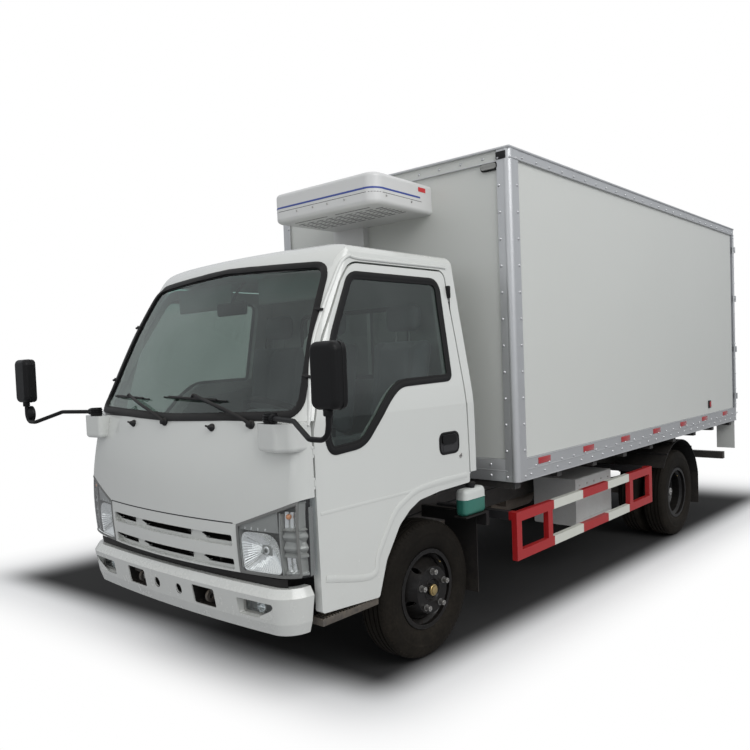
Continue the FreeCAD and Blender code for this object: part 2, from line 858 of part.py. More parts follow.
lamp_zone = front_prism(front_points(LAMP_SHARES), 0).common(span(-wide, wide, ahead, door_front, 0, above))
lamp = lamp_layer.common(lamp_zone)
keep("headlamps", shaped(Part.makeCompound([lamp, mirrored(lamp)])))
grille = outer.cut(cab_form(mm.grille_skin)).common(front_prism(front_points(GRILLE_SHARES), 0))
channel_floor = cab_form(mm.channel_depth)
slots = []
for low, high in ((mm.slot_top_bottom, mm.slot_top_top), (mm.slot_low_bottom, mm.slot_low_top)):
    foot = low - mm.channel_below
    crest = high + mm.channel_above
    corners = [
        Vector(-mm.channel_half, 0, foot), Vector(-mm.channel_half, 0, crest), Vector(mm.channel_half, 0,
            crest),
        Vector(mm.channel_half, 0, foot),
    ]
    slots.append(front_prism(corners, 2 * mm.slot_round).cut(channel_floor))
    for near, far in (
        (-mm.slot_middle_half, mm.slot_middle_half),
        (mm.slot_side_in, mm.slot_side_out),
        (-mm.slot_side_out, -mm.slot_side_in),
    ):
        corners = [Vector(near, 0, low), Vector(near, 0, high), Vector(far, 0, high), Vector(far, 0, low)]
        slots.append(front_prism(corners, mm.slot_round))
keep("grille", shaped(grille.cut(slots)))

door_layer = outer.cut(cab_form(mm.door_skin))
door = door_layer.common(door_blank).cut(window_hole).fuse(door_lugs)
pane = glass_layer.common(window_hole)
keep("door_left", shaped(door))
keep("door_right", shaped(mirrored(door)))
keep("door_glass_left", shaped(pane))
keep("door_glass_right", shaped(mirrored(pane)))

# Bumper: a pressed skin on a wide curve with round corners, leaning in above and below its crease.


def bumper_section(height, inset):
    """One horizontal section of the bumper's form, moved inwards by an inset."""
    width = mm.bumper_half - inset
    nose = inset - mm.bumper_front
    sweep = mm.bumper_sweep - inset
    corner = mm.bumper_corner - inset
    centre = Vector(0, nose + sweep, height)
    corner_y = centre.y - math.sqrt((sweep - corner) ** 2 - (width - corner) ** 2)
    middle = Vector(width - corner, corner_y, height)
    outward = (middle - centre).normalize()
    start = centre + outward * sweep
    bend = middle + (outward + Vector(1, 0, 0)).normalize() * corner
    stop = Vector(width, corner_y, height)
    back = Vector(width, -mm.bumper_rear, height)
    return Part.Wire([
        Part.Arc(flip(start), Vector(0, nose, height), start).toShape(),
        Part.Arc(start, bend, stop).toShape(),
        Part.makeLine(stop, back),
        Part.makeLine(back, flip(back)),
        Part.makeLine(flip(back), flip(stop)),
        Part.Arc(flip(stop), flip(bend), flip(start)).toShape(),
    ])


def bumper_form(inset):
    """The bumper as one solid block, or the block that lies inset inside it."""
    lower = Part.makeLoft([
        bumper_section(mm.bumper_bottom, mm.bumper_lean_low + inset),
        bumper_section(mm.bumper_round, mm.bumper_lean + inset),
        bumper_section(mm.bumper_crease, inset),
    ], True, True)
    upper = Part.makeLoft([
        bumper_section(mm.bumper_crease, inset),
        bumper_section(mm.bumper_top, mm.bumper_lean_top + inset),
    ], True, True)
    return lower.fuse(upper)


bumper_block = bumper_form(0)
lip_zone = span(-wide, wide, ahead, behind, mm.bumper_top - mm.bumper_wall, mm.bumper_top)
lip_hole = bumper_form(mm.bumper_lip).common(lip_zone)
hollow = bumper_form(mm.bumper_wall).cut(lip_zone)
bumper = bumper_block.cut([hollow, lip_hole])


def bumper_hole(near, far, low, high, corner):
    """An opening through the bumper's face, seen from the front."""
    points = [Vector(near, 0, low), Vector(near, 0, high), Vector(far, 0, high), Vector(far, 0, low)]
    face = rounded_face(points, corner)
    face.translate(Vector(0, -mm.bumper_front - mm.overrun, 0))
    return face.extrude(Vector(0, 2 * mm.overrun, 0)).common(span(
        -wide, wide, ahead, -mm.rail_front - mm.pivot_lug_half, 0, above))


round_hole = Part.makeCylinder(
    mm.round_hole_radius, mm.overrun, Vector(mm.round_hole_x, -mm.bumper_front - mm.overrun / 2,
        mm.round_hole_z),
    Vector(0, 1, 0))
left_holes = [
    bumper_hole(mm.tow_in, mm.tow_out, mm.tow_bottom, mm.tow_top, 2 * mm.slot_round),
    bumper_hole(mm.fog_in, mm.fog_out, mm.fog_bottom, mm.fog_top, 2 * mm.slot_round),
    round_hole,
]
bumper = bumper.cut(left_holes + [mirrored(hole) for hole in left_holes])
arm = span(
    mm.rail_outer_x - mm.rail_flange, mm.rail_outer_x, ahead, mm.bumper_arm_drop - mm.rail_front,
        mm.bumper_arm_bottom,
    mm.bumper_arm_top)
heel = span(
    mm.rail_outer_x - mm.rail_flange, mm.rail_outer_x, mm.pivot_lug_half - mm.pivot_y,
        mm.bumper_arm_drop - mm.rail_front,
    mm.bumper_arm_bottom, mm.rail_bottom)
arm = arm.fuse(heel).common(bumper_block)
keep("front_bumper", shaped(bumper.fuse([arm, mirrored(arm)])))
fog_front = mm.fog_in**2 / (2 * mm.bumper_sweep) - mm.bumper_front + mm.bumper_lean + 3 * mm.bumper_wall
fog = left_holes[1].common(span(
    0, wide, fog_front, fog_front + mm.fog_depth, 0, above))

# Cab floor: a footwell, a riser and the deck that the seats stand on, over the engine.
deck_bottom = "seat_deck_top - foot_wall"
foot_bottom = "foot_top - foot_wall"
cab_back = "cab_length - cab_front - skin"
floor_pieces = [
    block(("-tunnel_half - foot_wall", "tunnel_half + foot_wall"), ("-foot_front", "-riser_y"),
        (foot_bottom, "foot_top")),
]
for sign in (1, -1):
    floor_pieces.append(block(
        side(sign, "tunnel_half", "floor_half"), ("-cab_half", "-riser_y"), (foot_bottom, "foot_top")))
floor_pieces.append(block(("-floor_half", "floor_half"), ("-riser_y", "foot_wall - riser_y"),
    (foot_bottom, "seat_deck_top")))
floor_pieces.append(block(("-floor_half", "floor_half"), ("-riser_y", cab_back),
    (deck_bottom, "seat_deck_top")))
for sign in (1, -1):
    arm_in, arm_out = "pivot_arm_in", "pivot_arm_in + pivot_eye_width"
    floor_pieces.append(block(
        side(sign, arm_in, arm_out), ("-pivot_y + pivot_radius / 2", "-pivot_y + pivot_arm_rear"),
        ("pivot_z - pivot_eye_radius", "pivot_z + pivot_radius / 2")))
    floor_pieces.append(block(
        side(sign, arm_in, arm_out), ("-pivot_y + pivot_arm_front", "-pivot_y + pivot_arm_rear"),
        ("pivot_z - pivot_eye_radius", "foot_top")))
    low, high = side(sign, arm_in, arm_out)
    floor_pieces.append(rod("x", "pivot_eye_radius", low, "-pivot_y", "pivot_z", "pivot_eye_width"))
    floor_pieces.append(block(
        side(sign, arm_in, arm_out), ("-pivot_y + pivot_arm_front", "-cab_half + foot_wall"),
        (foot_bottom, "foot_top")))
pivot_bore = rod("x", "pivot_radius + pivot_clearance", "-cab_half", "-pivot_y", "pivot_z", "2 * cab_half")
keep("cab_floor", cut(join(floor_pieces), [pivot_bore]))

# Steps in the door openings: a tray with a lip, hung on an inner wall from the floor.
step_parts = []
for sign in (1, -1):
    tray = block(side(sign, "step_in", "step_out"), ("-step_front", "-step_rear"),
        ("step_bottom", "step_bottom + step_wall"))
    lip = block(
        side(sign, "step_out - step_wall", "step_out"), ("-step_front", "-step_rear"),
            ("step_bottom", "step_bottom + step_lip"))
    inner = block(
        side(sign, "step_in", "step_in + step_wall"), ("-step_front", "-step_rear"), ("step_bottom",
            foot_bottom))
    step_parts.append(join([tray, lip, inner]))
keep("cab_steps", group(step_parts))

# Arch liners: thin plates that follow the door's arch, inside it.
arch_line = [Vector(0, cab_y(y), cab_z(z)) for y, z in DOOR_SHARES[7:13]]
arch_line[0] = Vector(0, cab_y(DOOR_SHARES[6][0]), arch_line[0].z)
inner_line = [point + Vector(0, 0, mm.liner_back) for point in arch_line[:2]]
inner_line += [point + Vector(0, -mm.liner_back, mm.liner_back / 2) for point in arch_line[2:]]
thick = Vector(0, -mm.liner_wall, mm.liner_wall)
liner = rounded_face(inner_line + [point + thick for point in inner_line[::-1]], 0)
liner.translate(Vector(mm.liner_in, 0, 0))
liner = liner.extrude(Vector(mm.liner_out - mm.liner_in, 0, 0))
tab_front = inner_line[1].y + mm.liner_tab_back
hanger = span(
    mm.liner_tab_x, mm.liner_tab_x + mm.stay_width, tab_front, tab_front + mm.stay_width, inner_line[1].z,
    mm.seat_deck_top - mm.foot_wall)
liner = liner.fuse(hanger)
keep("arch_liners", shaped(Part.makeCompound([liner, mirrored(liner)])))

# Dashboard: a moulded beam under the windscreen, from one door to the other.
DASH_SHARES = [
    (0.0, 0.478), (0.0, 0.575), (0.13, 0.602), (0.2, 0.6), (0.262, 0.585), (0.275, 0.56), (0.255, 0.5),
        (0.2, 0.455),
]
dash = rounded_face([Vector(-mm.dash_half, cab_y(y), cab_z(z)) for y, z in DASH_SHARES], mm.bumper_wall)
dash = dash.extrude(Vector(2 * mm.dash_half, 0, 0)).common(cab_form(mm.skin + mm.spindle_clearance))

# Seats: a single driver's seat and a double bench, each a cushion, a leaning back and head rests.


def seat(centre, half, heads):
    """Cushion, back and head rests as one plain soft form."""
    deck = mm.seat_deck_top + mm.seat_gap
    top = deck + mm.cushion_height
    lean = mm.back_lean
    points = [
        Vector(0, -mm.cushion_front, deck), Vector(0, -mm.cushion_front, top), Vector(0, mm.cushion_rear,
            top),
        Vector(0, mm.cushion_rear + lean, mm.back_top),
        Vector(0, mm.cushion_rear + lean + mm.back_wall / 2, mm.back_top),
        Vector(0, mm.cushion_rear + mm.back_wall, deck),
    ]
    body = rounded_face(points, [mm.seat_half / 4, mm.seat_half / 5, 0, mm.seat_half / 8, mm.seat_half / 8,
        0])
    body.translate(Vector(centre - half, 0, 0))
    body = body.extrude(Vector(2 * half, 0, 0))
    for head_x in heads:
        head = span(
            head_x - mm.head_half, head_x + mm.head_half, mm.cushion_rear + lean,
            mm.cushion_rear + lean + mm.back_wall / 2, mm.back_top, mm.back_top + mm.head_height)
        body = body.fuse(head)
    return body.removeSplitter()


bench_heads = [-mm.bench_centre - mm.bench_half / 2, -mm.bench_centre + mm.bench_half / 2]
seats = [seat(mm.driver_x, mm.seat_half, [mm.driver_x]), seat(-mm.bench_centre, mm.bench_half, bench_heads)]
keep("seats", shaped(Part.makeCompound(seats)))

# Steering wheel: a rim, three spokes and a hub on a leaning column.
rim = Part.makeTorus(mm.wheel_rim, mm.wheel_grip)
hub = Part.makeCylinder(mm.wheel_hub, mm.wheel_hub_height, Vector(0, 0,
    -mm.wheel_hub_height / 2 - mm.wheel_grip))
spokes = []
for turn in (90, 210, 330):
    spoke = Part.makeBox(
        mm.wheel_rim, 2 * mm.wheel_grip, mm.wheel_grip, Vector(0, -mm.wheel_grip, -mm.wheel_grip / 2))
    spokes.append(spoke.rotate(Vector(), UP, turn))
steering = rim.fuse([hub] + spokes)
steering.rotate(Vector(), Vector(1, 0, 0), -mm.wheel_tilt)
steering.translate(Vector(mm.driver_x, -mm.wheel_y, mm.wheel_z))
keep("steering_wheel", shaped(steering))
column = Part.makeCylinder(
    mm.column_radius, mm.column_length,
    Vector(0, 0, -mm.wheel_hub_height / 2 - mm.wheel_grip - mm.column_gap - mm.column_length))
column.rotate(Vector(), Vector(1, 0, 0), -mm.wheel_tilt)
column.translate(Vector(mm.driver_x, -mm.wheel_y, mm.wheel_z))
keep("dashboard", shaped(dash.fuse(column).removeSplitter()))

# Mirrors: a head on a bent tube from a base on the cab's front corner.


def tube(points, bend, radius):
    """A round tube along straight runs joined by tangent arcs."""
    edges = []
    start = points[0]
    for index in range(1, len(points) - 1):
        point = points[index]
        back = (points[index - 1] - point).normalize()
        on = (points[index + 1] - point).normalize()
        half = back.getAngle(on) / 2
        reach = bend / math.tan(half)
        centre = point + (back + on).normalize() * (bend / math.sin(half))
        edges.append(Part.makeLine(start, point + back * reach))
        edges.append(Part.Arc(
            point + back * reach, centre + (point - centre).normalize() * bend,
                point + on * reach).toShape())
        start = point + on * reach
    edges.append(Part.makeLine(start, points[-1]))
    path = Part.Wire(edges)
    circle = Part.Wire(Part.makeCircle(radius, points[0], points[1] - points[0]))
    return path.makePipeShell([circle], True, False)


def mirror_set():
    """The left mirror: arm, base and head in one."""
    head_low = mm.mirror_z - mm.mirror_half_height
    head_y = -mm.mirror_reach + mm.mirror_depth / 2
    corners = [
        Vector(mm.mirror_span - 2 * mm.mirror_half_width, 0, head_low),
        Vector(mm.mirror_span - 2 * mm.mirror_half_width, 0, mm.mirror_z + mm.mirror_half_height),
        Vector(mm.mirror_span, 0, mm.mirror_z + mm.mirror_half_height),
        Vector(mm.mirror_span, 0, head_low),
    ]
    head = rounded_face(corners, mm.mirror_round)
    head.translate(Vector(0, -mm.mirror_reach, 0))
    head = head.extrude(Vector(0, mm.mirror_depth, 0))
    front_edges = [edge for edge in head.Edges if edge.BoundBox.YMax < mm.glass - mm.mirror_reach]
    head = head.makeFillet(mm.mirror_edge, front_edges)
    stem_x = mm.mirror_x
    arm = tube([
        Vector(mm.arm_base_x, -mm.arm_base_y, mm.arm_base_z),
        Vector(mm.arm_turn_x, -mm.arm_turn_y, mm.arm_base_z),
        Vector(mm.arm_low_x, head_y, mm.arm_low_z),
        Vector(stem_x, head_y, mm.arm_low_z),
        Vector(stem_x, head_y, head_low + mm.mirror_round),
    ], mm.arm_bend, mm.arm_radius)
    base = Part.makeCylinder(
        mm.base_radius, mm.base_top - mm.pod_top, Vector(mm.arm_base_x, -mm.arm_base_y, mm.pod_top))
    return head.fuse([arm, base])


mirror = mirror_set()
keep("mirrors", shaped(Part.makeCompound([mirror, mirrored(mirror)])))

# Ladder frame: two channel rails, cross tubes, the cab's pivot shaft and its rear rests.
rail_inner = "rail_outer_x - rail_flange"
frame_pieces = []
for sign in (1, -1):
    whole = (("-rail_front"), "rail_rear")
    frame_pieces.append(block(side(sign, "rail_outer_x - rail_wall", "rail_outer_x"), whole,
        ("rail_bottom", "rail_top")))
    frame_pieces.append(block(side(sign, rail_inner, "rail_outer_x"), whole,
        ("rail_bottom", "rail_bottom + rail_wall")))
    frame_pieces.append(block(side(sign, rail_inner, "rail_outer_x"), whole,
        ("rail_top - rail_wall", "rail_top")))
    frame_pieces.append(block(
        side(sign, rail_inner, "rail_outer_x"), ("-pivot_y - pivot_lug_half", "-rail_front"),
        ("pivot_z - pivot_lug_half", "pivot_z + pivot_lug_width")))
    frame_pieces.append(block(
        side(sign, "rail_outer_x - stay_width", "rail_outer_x"), ("stay_y", "stay_y + stay_width"),
        ("rail_top", "seat_deck_top - foot_wall - seat_gap")))
CROSS_SHARES = [-0.3, 0.34, 0.56, 0.78, 1.0, 1.22, 1.355]
for share in CROSS_SHARES:
    start = f"{share} * wheelbase"
    frame_pieces.append(block(
        ("-rail_outer_x + rail_wall", "rail_outer_x - rail_wall"), (start, f"{start} + cross_width"),
        ("cross_bottom", "cross_top")))
frame_pieces.append(rod(
    "x", "pivot_radius", "-pivot_arm_in - pivot_eye_width - rail_wall", "-pivot_y", "pivot_z",
    "2 * pivot_arm_in + 2 * pivot_eye_width + 2 * rail_wall"))
keep("ladder_frame", join(frame_pieces))

# Engine and gearbox as one plain block on feet that stand on the rails' flanges.
engine_pieces = [
    block(("-engine_half_width", "engine_half_width"), ("-engine_front", "engine_rear"),
        ("engine_bottom", "engine_top")),
    block(("-gearbox_half_width", "gearbox_half_width"), ("engine_rear", "gearbox_rear"),
        ("gearbox_bottom", "gearbox_top")),
]
for sign in (1, -1):
    engine_pieces.append(block(
        side(sign, "engine_half_width", rail_inner), ("-engine_foot_half", "engine_foot_half"),
        ("rail_bottom - rail_wall", "rail_bottom + 3 * rail_wall")))
keep("engine", join(engine_pieces))

# Front axle: a beam with an eye at each end for the kingpin.
beam_end = "kingpin_x - eye_radius / 2"
axle_pieces = [
    block((f"-({beam_end}) + axle_beam_ramp", f"{beam_end} - axle_beam_ramp"),
        ("-axle_beam_half_width", "axle_beam_half_width"),
          ("axle_beam_bottom", "axle_beam_top")),
]
for sign in (1, -1):
    axle_pieces.append(block(
        side(sign, f"{beam_end} - 2 * axle_beam_ramp", beam_end),
            ("-axle_beam_half_width / 2", "axle_beam_half_width / 2"),
        ("wheel_radius - eye_half_height", "wheel_radius + eye_half_height / 2")))
    low, high = side(sign, "kingpin_x", "kingpin_x")
    axle_pieces.append(rod("z", "eye_radius", low, "0", "wheel_radius - eye_half_height",
        "2 * eye_half_height"))
eye_bores = [
    rod("z", "kingpin_radius + kingpin_clearance", side(sign, "kingpin_x", "kingpin_x")[0], "0",
        "axle_beam_bottom", "overrun")
    for sign in (1, -1)
]
keep("front_axle", cut(join(axle_pieces), eye_bores))

# Knuckles: a yoke round the eye, the kingpin, a backing plate and the wheel's spindle.
for sign, name in ((1, "left"), (-1, "right")):
    yoke_low = "wheel_radius - eye_half_height - yoke_gap - yoke_height"
    yoke_high = "wheel_radius + eye_half_height + yoke_gap"
    wall_in, wall_out = "kingpin_x + yoke_back", "kingpin_x + yoke_back + yoke_wall"
    centre = side(sign, "kingpin_x", "kingpin_x")[0]
    pieces = [
        rod("z", "kingpin_radius", centre, "0", yoke_low, "2 * (eye_half_height + yoke_gap + yoke_height)"),
        rod("z", "eye_radius", centre, "0", yoke_low, "yoke_height"),
        rod("z", "eye_radius", centre, "0", yoke_high, "yoke_height"),
        block(side(sign, wall_in, wall_out), ("-yoke_half_width", "yoke_half_width"), (yoke_low,
            f"{yoke_high} + yoke_height")),
        rod("x", "backing_radius", side(sign, wall_out, f"{wall_out} + backing_wall")[0], "0",
            "wheel_radius", "backing_wall"),
        rod("x", "spindle_radius", side(sign, wall_out, "front_wheel_x + spindle_reach")[0], "0",
            "wheel_radius",
            f"front_wheel_x + spindle_reach - ({wall_out})"),
    ]
    for base in (yoke_low, yoke_high):
        pieces.append(block(side(sign, "kingpin_x", wall_out), ("-yoke_half_width", "yoke_half_width"),
            (base, f"{base} + yoke_height")))
    keep(f"knuckle_{name}", join(pieces))

# Rear axle: tubes, a round differential housing, the spring seats and the propeller shaft.
rear_pieces = [
    rod("x", "rear_tube_radius", "-rear_tube_x", "wheelbase", "wheel_radius", "2 * rear_tube_x"),
    rod("x", "spindle_radius", "-rear_spindle_x", "wheelbase", "wheel_radius", "2 * rear_spindle_x"),
    rod("y", "banjo_radius", "0", "wheelbase - banjo_half_width", "wheel_radius", "2 * banjo_half_width"),
]
for sign in (1, -1):
    rear_pieces.append(block(
        side(sign, "rear_spring_in", "rear_spring_out"), ("wheelbase - yoke_back", "wheelbase + yoke_back"),
        ("rear_seat_bottom", "rear_spring_seat")))
start = Vector(0, mm.gearbox_rear + mm.seat_gap, mm.shaft_front_z)
stop = Vector(0, mm.wheelbase, mm.wheel_radius)
shaft = shaped(Part.makeCylinder(mm.shaft_radius, (stop - start).Length, start, stop - start).cut(
    span(-wide, wide, 0, start.y, 0, above)))
keep("rear_axle", join(rear_pieces + [shaft]))


# Leaf springs: bowed packs with hangers up to the rails.
def spring_pack(centre_y, seat_z, half, rise, near, far, hanger_near, hanger_far, hanger_top):
    """One bowed pack and its two hangers."""
    depth = mm.spring_depth
    bottom = [Vector(0, centre_y - half, seat_z + rise), Vector(0, centre_y, seat_z), Vector(0,
        centre_y + half, seat_z + rise)]
    upper = [bottom[2] + Vector(0, 0, mm.spring_tip), bottom[1] + Vector(0, 0, depth), bottom[0] + Vector(0,
        0, mm.spring_tip)]
    face = Part.Face(Part.Wire([
        Part.Arc(*bottom).toShape(), Part.makeLine(bottom[2], upper[0]), Part.Arc(*upper).toShape(),
        Part.makeLine(upper[2], bottom[0]),
    ]))
    face.translate(Vector(near, 0, 0))
    pack = face.extrude(Vector(far - near, 0, 0))
    for end in (centre_y - half, centre_y + half):
        hanger = span(
            hanger_near, hanger_far, end - mm.hanger_half, end + mm.hanger_half,
                seat_z + rise - mm.hanger_half, hanger_top)
        pack = pack.fuse(hanger)
    return pack


front_pack = spring_pack(
    0, mm.axle_beam_top, mm.front_spring_half, mm.front_spring_rise, mm.front_spring_in,
        mm.front_spring_out,
    mm.rail_outer_x - mm.rail_flange, mm.front_spring_out, mm.rail_bottom)
rear_pack = spring_pack(
    mm.wheelbase, mm.rear_spring_seat, mm.rear_spring_half, mm.rear_spring_rise, mm.rear_spring_in,
        mm.rear_spring_out,
    mm.rail_outer_x, mm.rear_spring_out, mm.hanger_top)
packs = [front_pack, rear_pack]
keep("leaf_springs", shaped(Part.makeCompound(packs + [mirrored(pack) for pack in packs])))


# Fuel tank on the right and the silver box on the left, each hung on the rail by two straps.
def hung_box(near, far, front, rear, low, high, corner):
    """A box with rounded long edges and two hanging straps that meet the rail's web."""
    points = [Vector(near, 0, low), Vector(near, 0, high), Vector(far, 0, high), Vector(far, 0, low)]
    face = rounded_face(points, corner)
    face.translate(Vector(0, front, 0))
    body = face.extrude(Vector(0, rear - front, 0))
    step = (rear - front) / 4
    for place_y in (front + step, rear - step):
        body = body.fuse(span(
            mm.rail_outer_x, near + corner, place_y - mm.strap_width / 2, place_y + mm.strap_width / 2,
            mm.strap_bottom, mm.strap_top))
    return body.removeSplitter()


tank = hung_box(mm.tank_in, mm.tank_out, mm.tank_front, mm.tank_rear, mm.tank_bottom, mm.tank_top,
    mm.tank_round)
keep("fuel_tank", shaped(mirrored(tank)))
keep("silver_box", shaped(hung_box(
    mm.silver_in, mm.silver_out, mm.silver_front, mm.silver_rear, mm.silver_bottom, mm.silver_top,
        mm.silver_round)))

# Exhaust: a silencer between the rails with a pipe from the engine to the rear.
keep("exhaust", join([
    rod("y", "pipe_radius", "muffler_x", "pipe_front", "muffler_z", "pipe_rear - pipe_front"),
    rod("y", "muffler_radius", "muffler_x", "muffler_front", "muffler_z", "muffler_rear - muffler_front"),
    block(("muffler_x", rail_inner),
        ("muffler_front + cross_width", "muffler_front + cross_width + guard_arm_half"),
          ("muffler_z", "muffler_z + guard_arm_half")),
    block((rail_inner, "rail_outer_x - rail_wall"),
        ("muffler_front + cross_width", "muffler_front + cross_width + guard_arm_half"),
          ("muffler_z", "rail_bottom")),
]))

# Front flaps and the reservoir, on brackets behind the front wheels.
flap_parts = []
for sign in (1, -1):
    flap_parts.append(join([
        block(side(sign, "rail_outer_x", "bracket_out"), ("bracket_front", "bracket_rear"),
            ("bracket_bottom", "bracket_top")),
        block(side(sign, "flap_in", "flap_out"), ("bracket_front - flap_wall", "bracket_front"),
            ("flap_bottom", "flap_top")),
        block(side(sign, "reservoir_in - tray_wall", "bracket_out"), ("reservoir_front", "bracket_rear"),
              ("bracket_top", "bracket_top + tray_wall")),
    ]))
tank_points = [
    Vector(mm.reservoir_in, mm.reservoir_front, 0), Vector(mm.reservoir_out, mm.reservoir_front, 0),
    Vector(mm.reservoir_out, mm.reservoir_rear, 0), Vector(mm.reservoir_in, mm.reservoir_rear, 0),
]
reservoir = rounded_face(tank_points, mm.reservoir_round)
reservoir.translate(Vector(0, 0, mm.bracket_top + mm.tray_wall))
reservoir = reservoir.extrude(Vector(0, 0, mm.reservoir_top - mm.bracket_top - mm.tray_wall))
keep("reservoir", shaped(reservoir))

# Rear mudguards: an arched plate over each pair of twin wheels, a flap behind and two arms to the rail.
centre = Vector(0, mm.wheelbase, mm.wheel_radius)


def arch_point(radius, degrees):
    """A place on the mudguard's arc, counted from the level line behind the wheel."""
    turn = math.radians(degrees)
    return centre + Vector(0, radius * math.cos(turn), radius * math.sin(turn))


def arch_band(radius, wall, first, last):
    """A curved plate between two angles, as a flat face."""
    middle = (first + last) / 2
    inner = [arch_point(radius, angle) for angle in (first, middle, last)]
    outward = [arch_point(radius + wall, angle) for angle in (last, middle, first)]
    return Part.Face(Part.Wire([
        Part.Arc(*inner).toShape(), Part.makeLine(inner[2], outward[0]), Part.Arc(*outward).toShape(),
        Part.makeLine(outward[2], inner[0]),
    ]))


band = arch_band(mm.guard_arc_radius, mm.guard_arc_wall, mm.guard_rear_angle, 180 - mm.guard_front_angle)
band.translate(Vector(mm.guard_in, 0, 0))
guard = band.extrude(Vector(mm.guard_out - mm.guard_in, 0, 0))
rear_edge = arch_point(mm.guard_arc_radius, mm.guard_rear_angle)
guard = guard.fuse(span(
    mm.guard_in, mm.guard_out, rear_edge.y, rear_edge.y + mm.guard_arc_wall, mm.guard_flap_bottom,
    rear_edge.z + mm.guard_arc_wall))
for offset in (-mm.guard_arm_place, mm.guard_arm_place):
    rise = math.sqrt((mm.guard_arc_radius + mm.guard_arc_wall) ** 2 - (abs(offset) - mm.guard_arm_half) ** 2)
    arm_y = mm.wheelbase + offset
    guard = guard.fuse(span(
        mm.rail_outer_x, mm.guard_out, arm_y - mm.guard_arm_half, arm_y + mm.guard_arm_half,
        mm.wheel_radius + rise - mm.guard_arm_height, mm.wheel_radius + rise))
keep("mudguards", group(flap_parts + [shaped(guard), shaped(mirrored(guard))]))

# Side guards: two bars between framed ends, on arms from the rails.
guards = []
for sign in (1, -1):
    across = side(sign, "side_rail_out - side_rail_wall", "side_rail_out")
    whole = ("side_rail_front", "side_rail_rear")
    pieces = [
        block(across, whole, ("side_rail_top - side_bar_height", "side_rail_top")),
        block(across, whole, ("side_rail_bottom", "side_rail_bottom + side_bar_height")),
    ]
    for start in (
        "side_rail_front",
        "side_rail_front + side_end_length - side_post_width",
        "side_rail_rear - side_end_length",
        "side_rail_rear - side_post_width",
    ):
        pieces.append(block(across, (start, f"{start} + side_post_width"),
            ("side_rail_bottom", "side_rail_top")))
    for middle in ("side_rail_front + side_post_width / 2", "side_rail_rear - side_post_width / 2"):
        pieces.append(block(
            side(sign, "rail_outer_x", "side_rail_out - side_rail_wall"), (f"{middle} - side_arm_half",
                f"{middle} + side_arm_half"),
            ("side_rail_top - side_arm_drop", "side_rail_top")))
    guards.append(join(pieces))
keep("side_guards", group(guards))

# Underrun bar on two hangers outside the rails' ends.
bar_pieces = [block(("-underrun_half", "underrun_half"), ("underrun_front", "underrun_rear"),
    ("underrun_bottom", "underrun_top"))]
for sign in (1, -1):
    bar_pieces.append(block(
        side(sign, "rail_outer_x", "rail_outer_x + underrun_hanger"),
        ("underrun_front - underrun_hanger_length", "underrun_front + underrun_hanger"),
            ("underrun_bottom", "cross_top")))
keep("underrun_bar", join(bar_pieces))

# Rear lamp panels hang from the box's rear corners, with the lamps on them.
panel_back = "box_front + box_length - lamp_panel_back"
keep("rear_lamp_panels", group([
    block(side(sign, "lamp_panel_in", "lamp_panel_out"), (f"{panel_back} - lamp_panel_wall", panel_back),
          ("lamp_panel_bottom", "bottom_rail_bottom"))
    for sign in (1, -1)
]))
tail_lamps = [
    block(side(sign, "lamp_panel_in + tail_lamp_inset", "lamp_panel_out - tail_lamp_inset"),
          (panel_back, f"{panel_back} + tail_lamp_reach"), ("tail_lamp_bottom", "tail_lamp_top"))
    for sign in (1, -1)
]
keep("fog_and_tail_lamps", group([shaped(fog), shaped(mirrored(fog))] + tail_lamps))

# Load box: runners and bearers, an insulated floor, three walls, a roof and the rear frame.
box_back = "box_front + box_length"
frame_front = f"{box_back} - rear_frame_depth"
keep("box_runners", group([
    block(side(sign, "rail_outer_x - runner_width", "rail_outer_x"), ("box_front", frame_front),
        ("rail_top", "runner_top"))
    for sign in (1, -1)
]))
bearer_parts = []
BEARER_SHARES = [0.0, 0.12, 0.24, 0.36, 0.48, 0.6, 0.72, 0.84, 0.968]
for share in BEARER_SHARES:
    start = f"box_front + {share} * box_length"
    bearer_parts.append(block(("-bearer_half", "bearer_half"), (start, f"{start} + bearer_width"),
        ("runner_top", "floor_bottom")))
keep("box_bearers", group(bearer_parts))
inside = "box_half - wall"
wall_foot = "floor_top - floor_step"
tread_half = f"{inside} - seat_gap"
keep("box_floor", join([
    block(("-box_half", "box_half"), ("box_front", frame_front), ("floor_bottom", wall_foot)),
    block((f"-({tread_half})", tread_half), ("box_front + wall + seat_gap", frame_front),
        ("floor_bottom", "floor_top")),
]))
keep("box_side_walls", group([
    block(side(sign, inside, "box_half"), ("box_front", frame_front), (wall_foot, "box_top - wall"))
    for sign in (1, -1)
]))
keep("box_front_wall", block((f"-({inside})", inside), ("box_front", "box_front + wall"),
    (wall_foot, "box_top - wall")))
keep("box_roof", block(("-box_half", "box_half"), ("box_front", frame_front),
    ("box_top - wall", "box_top")))
opening_half = "box_half - rear_post_width"
rear_frame = cut(
    block(("-box_half", "box_half"), (frame_front, box_back), ("bottom_rail_bottom", "box_top")),
    [block((f"-({opening_half})", opening_half), (f"{frame_front} - wall", f"{box_back} + wall"),
        ("floor_top", "box_top - rear_head_height"))])

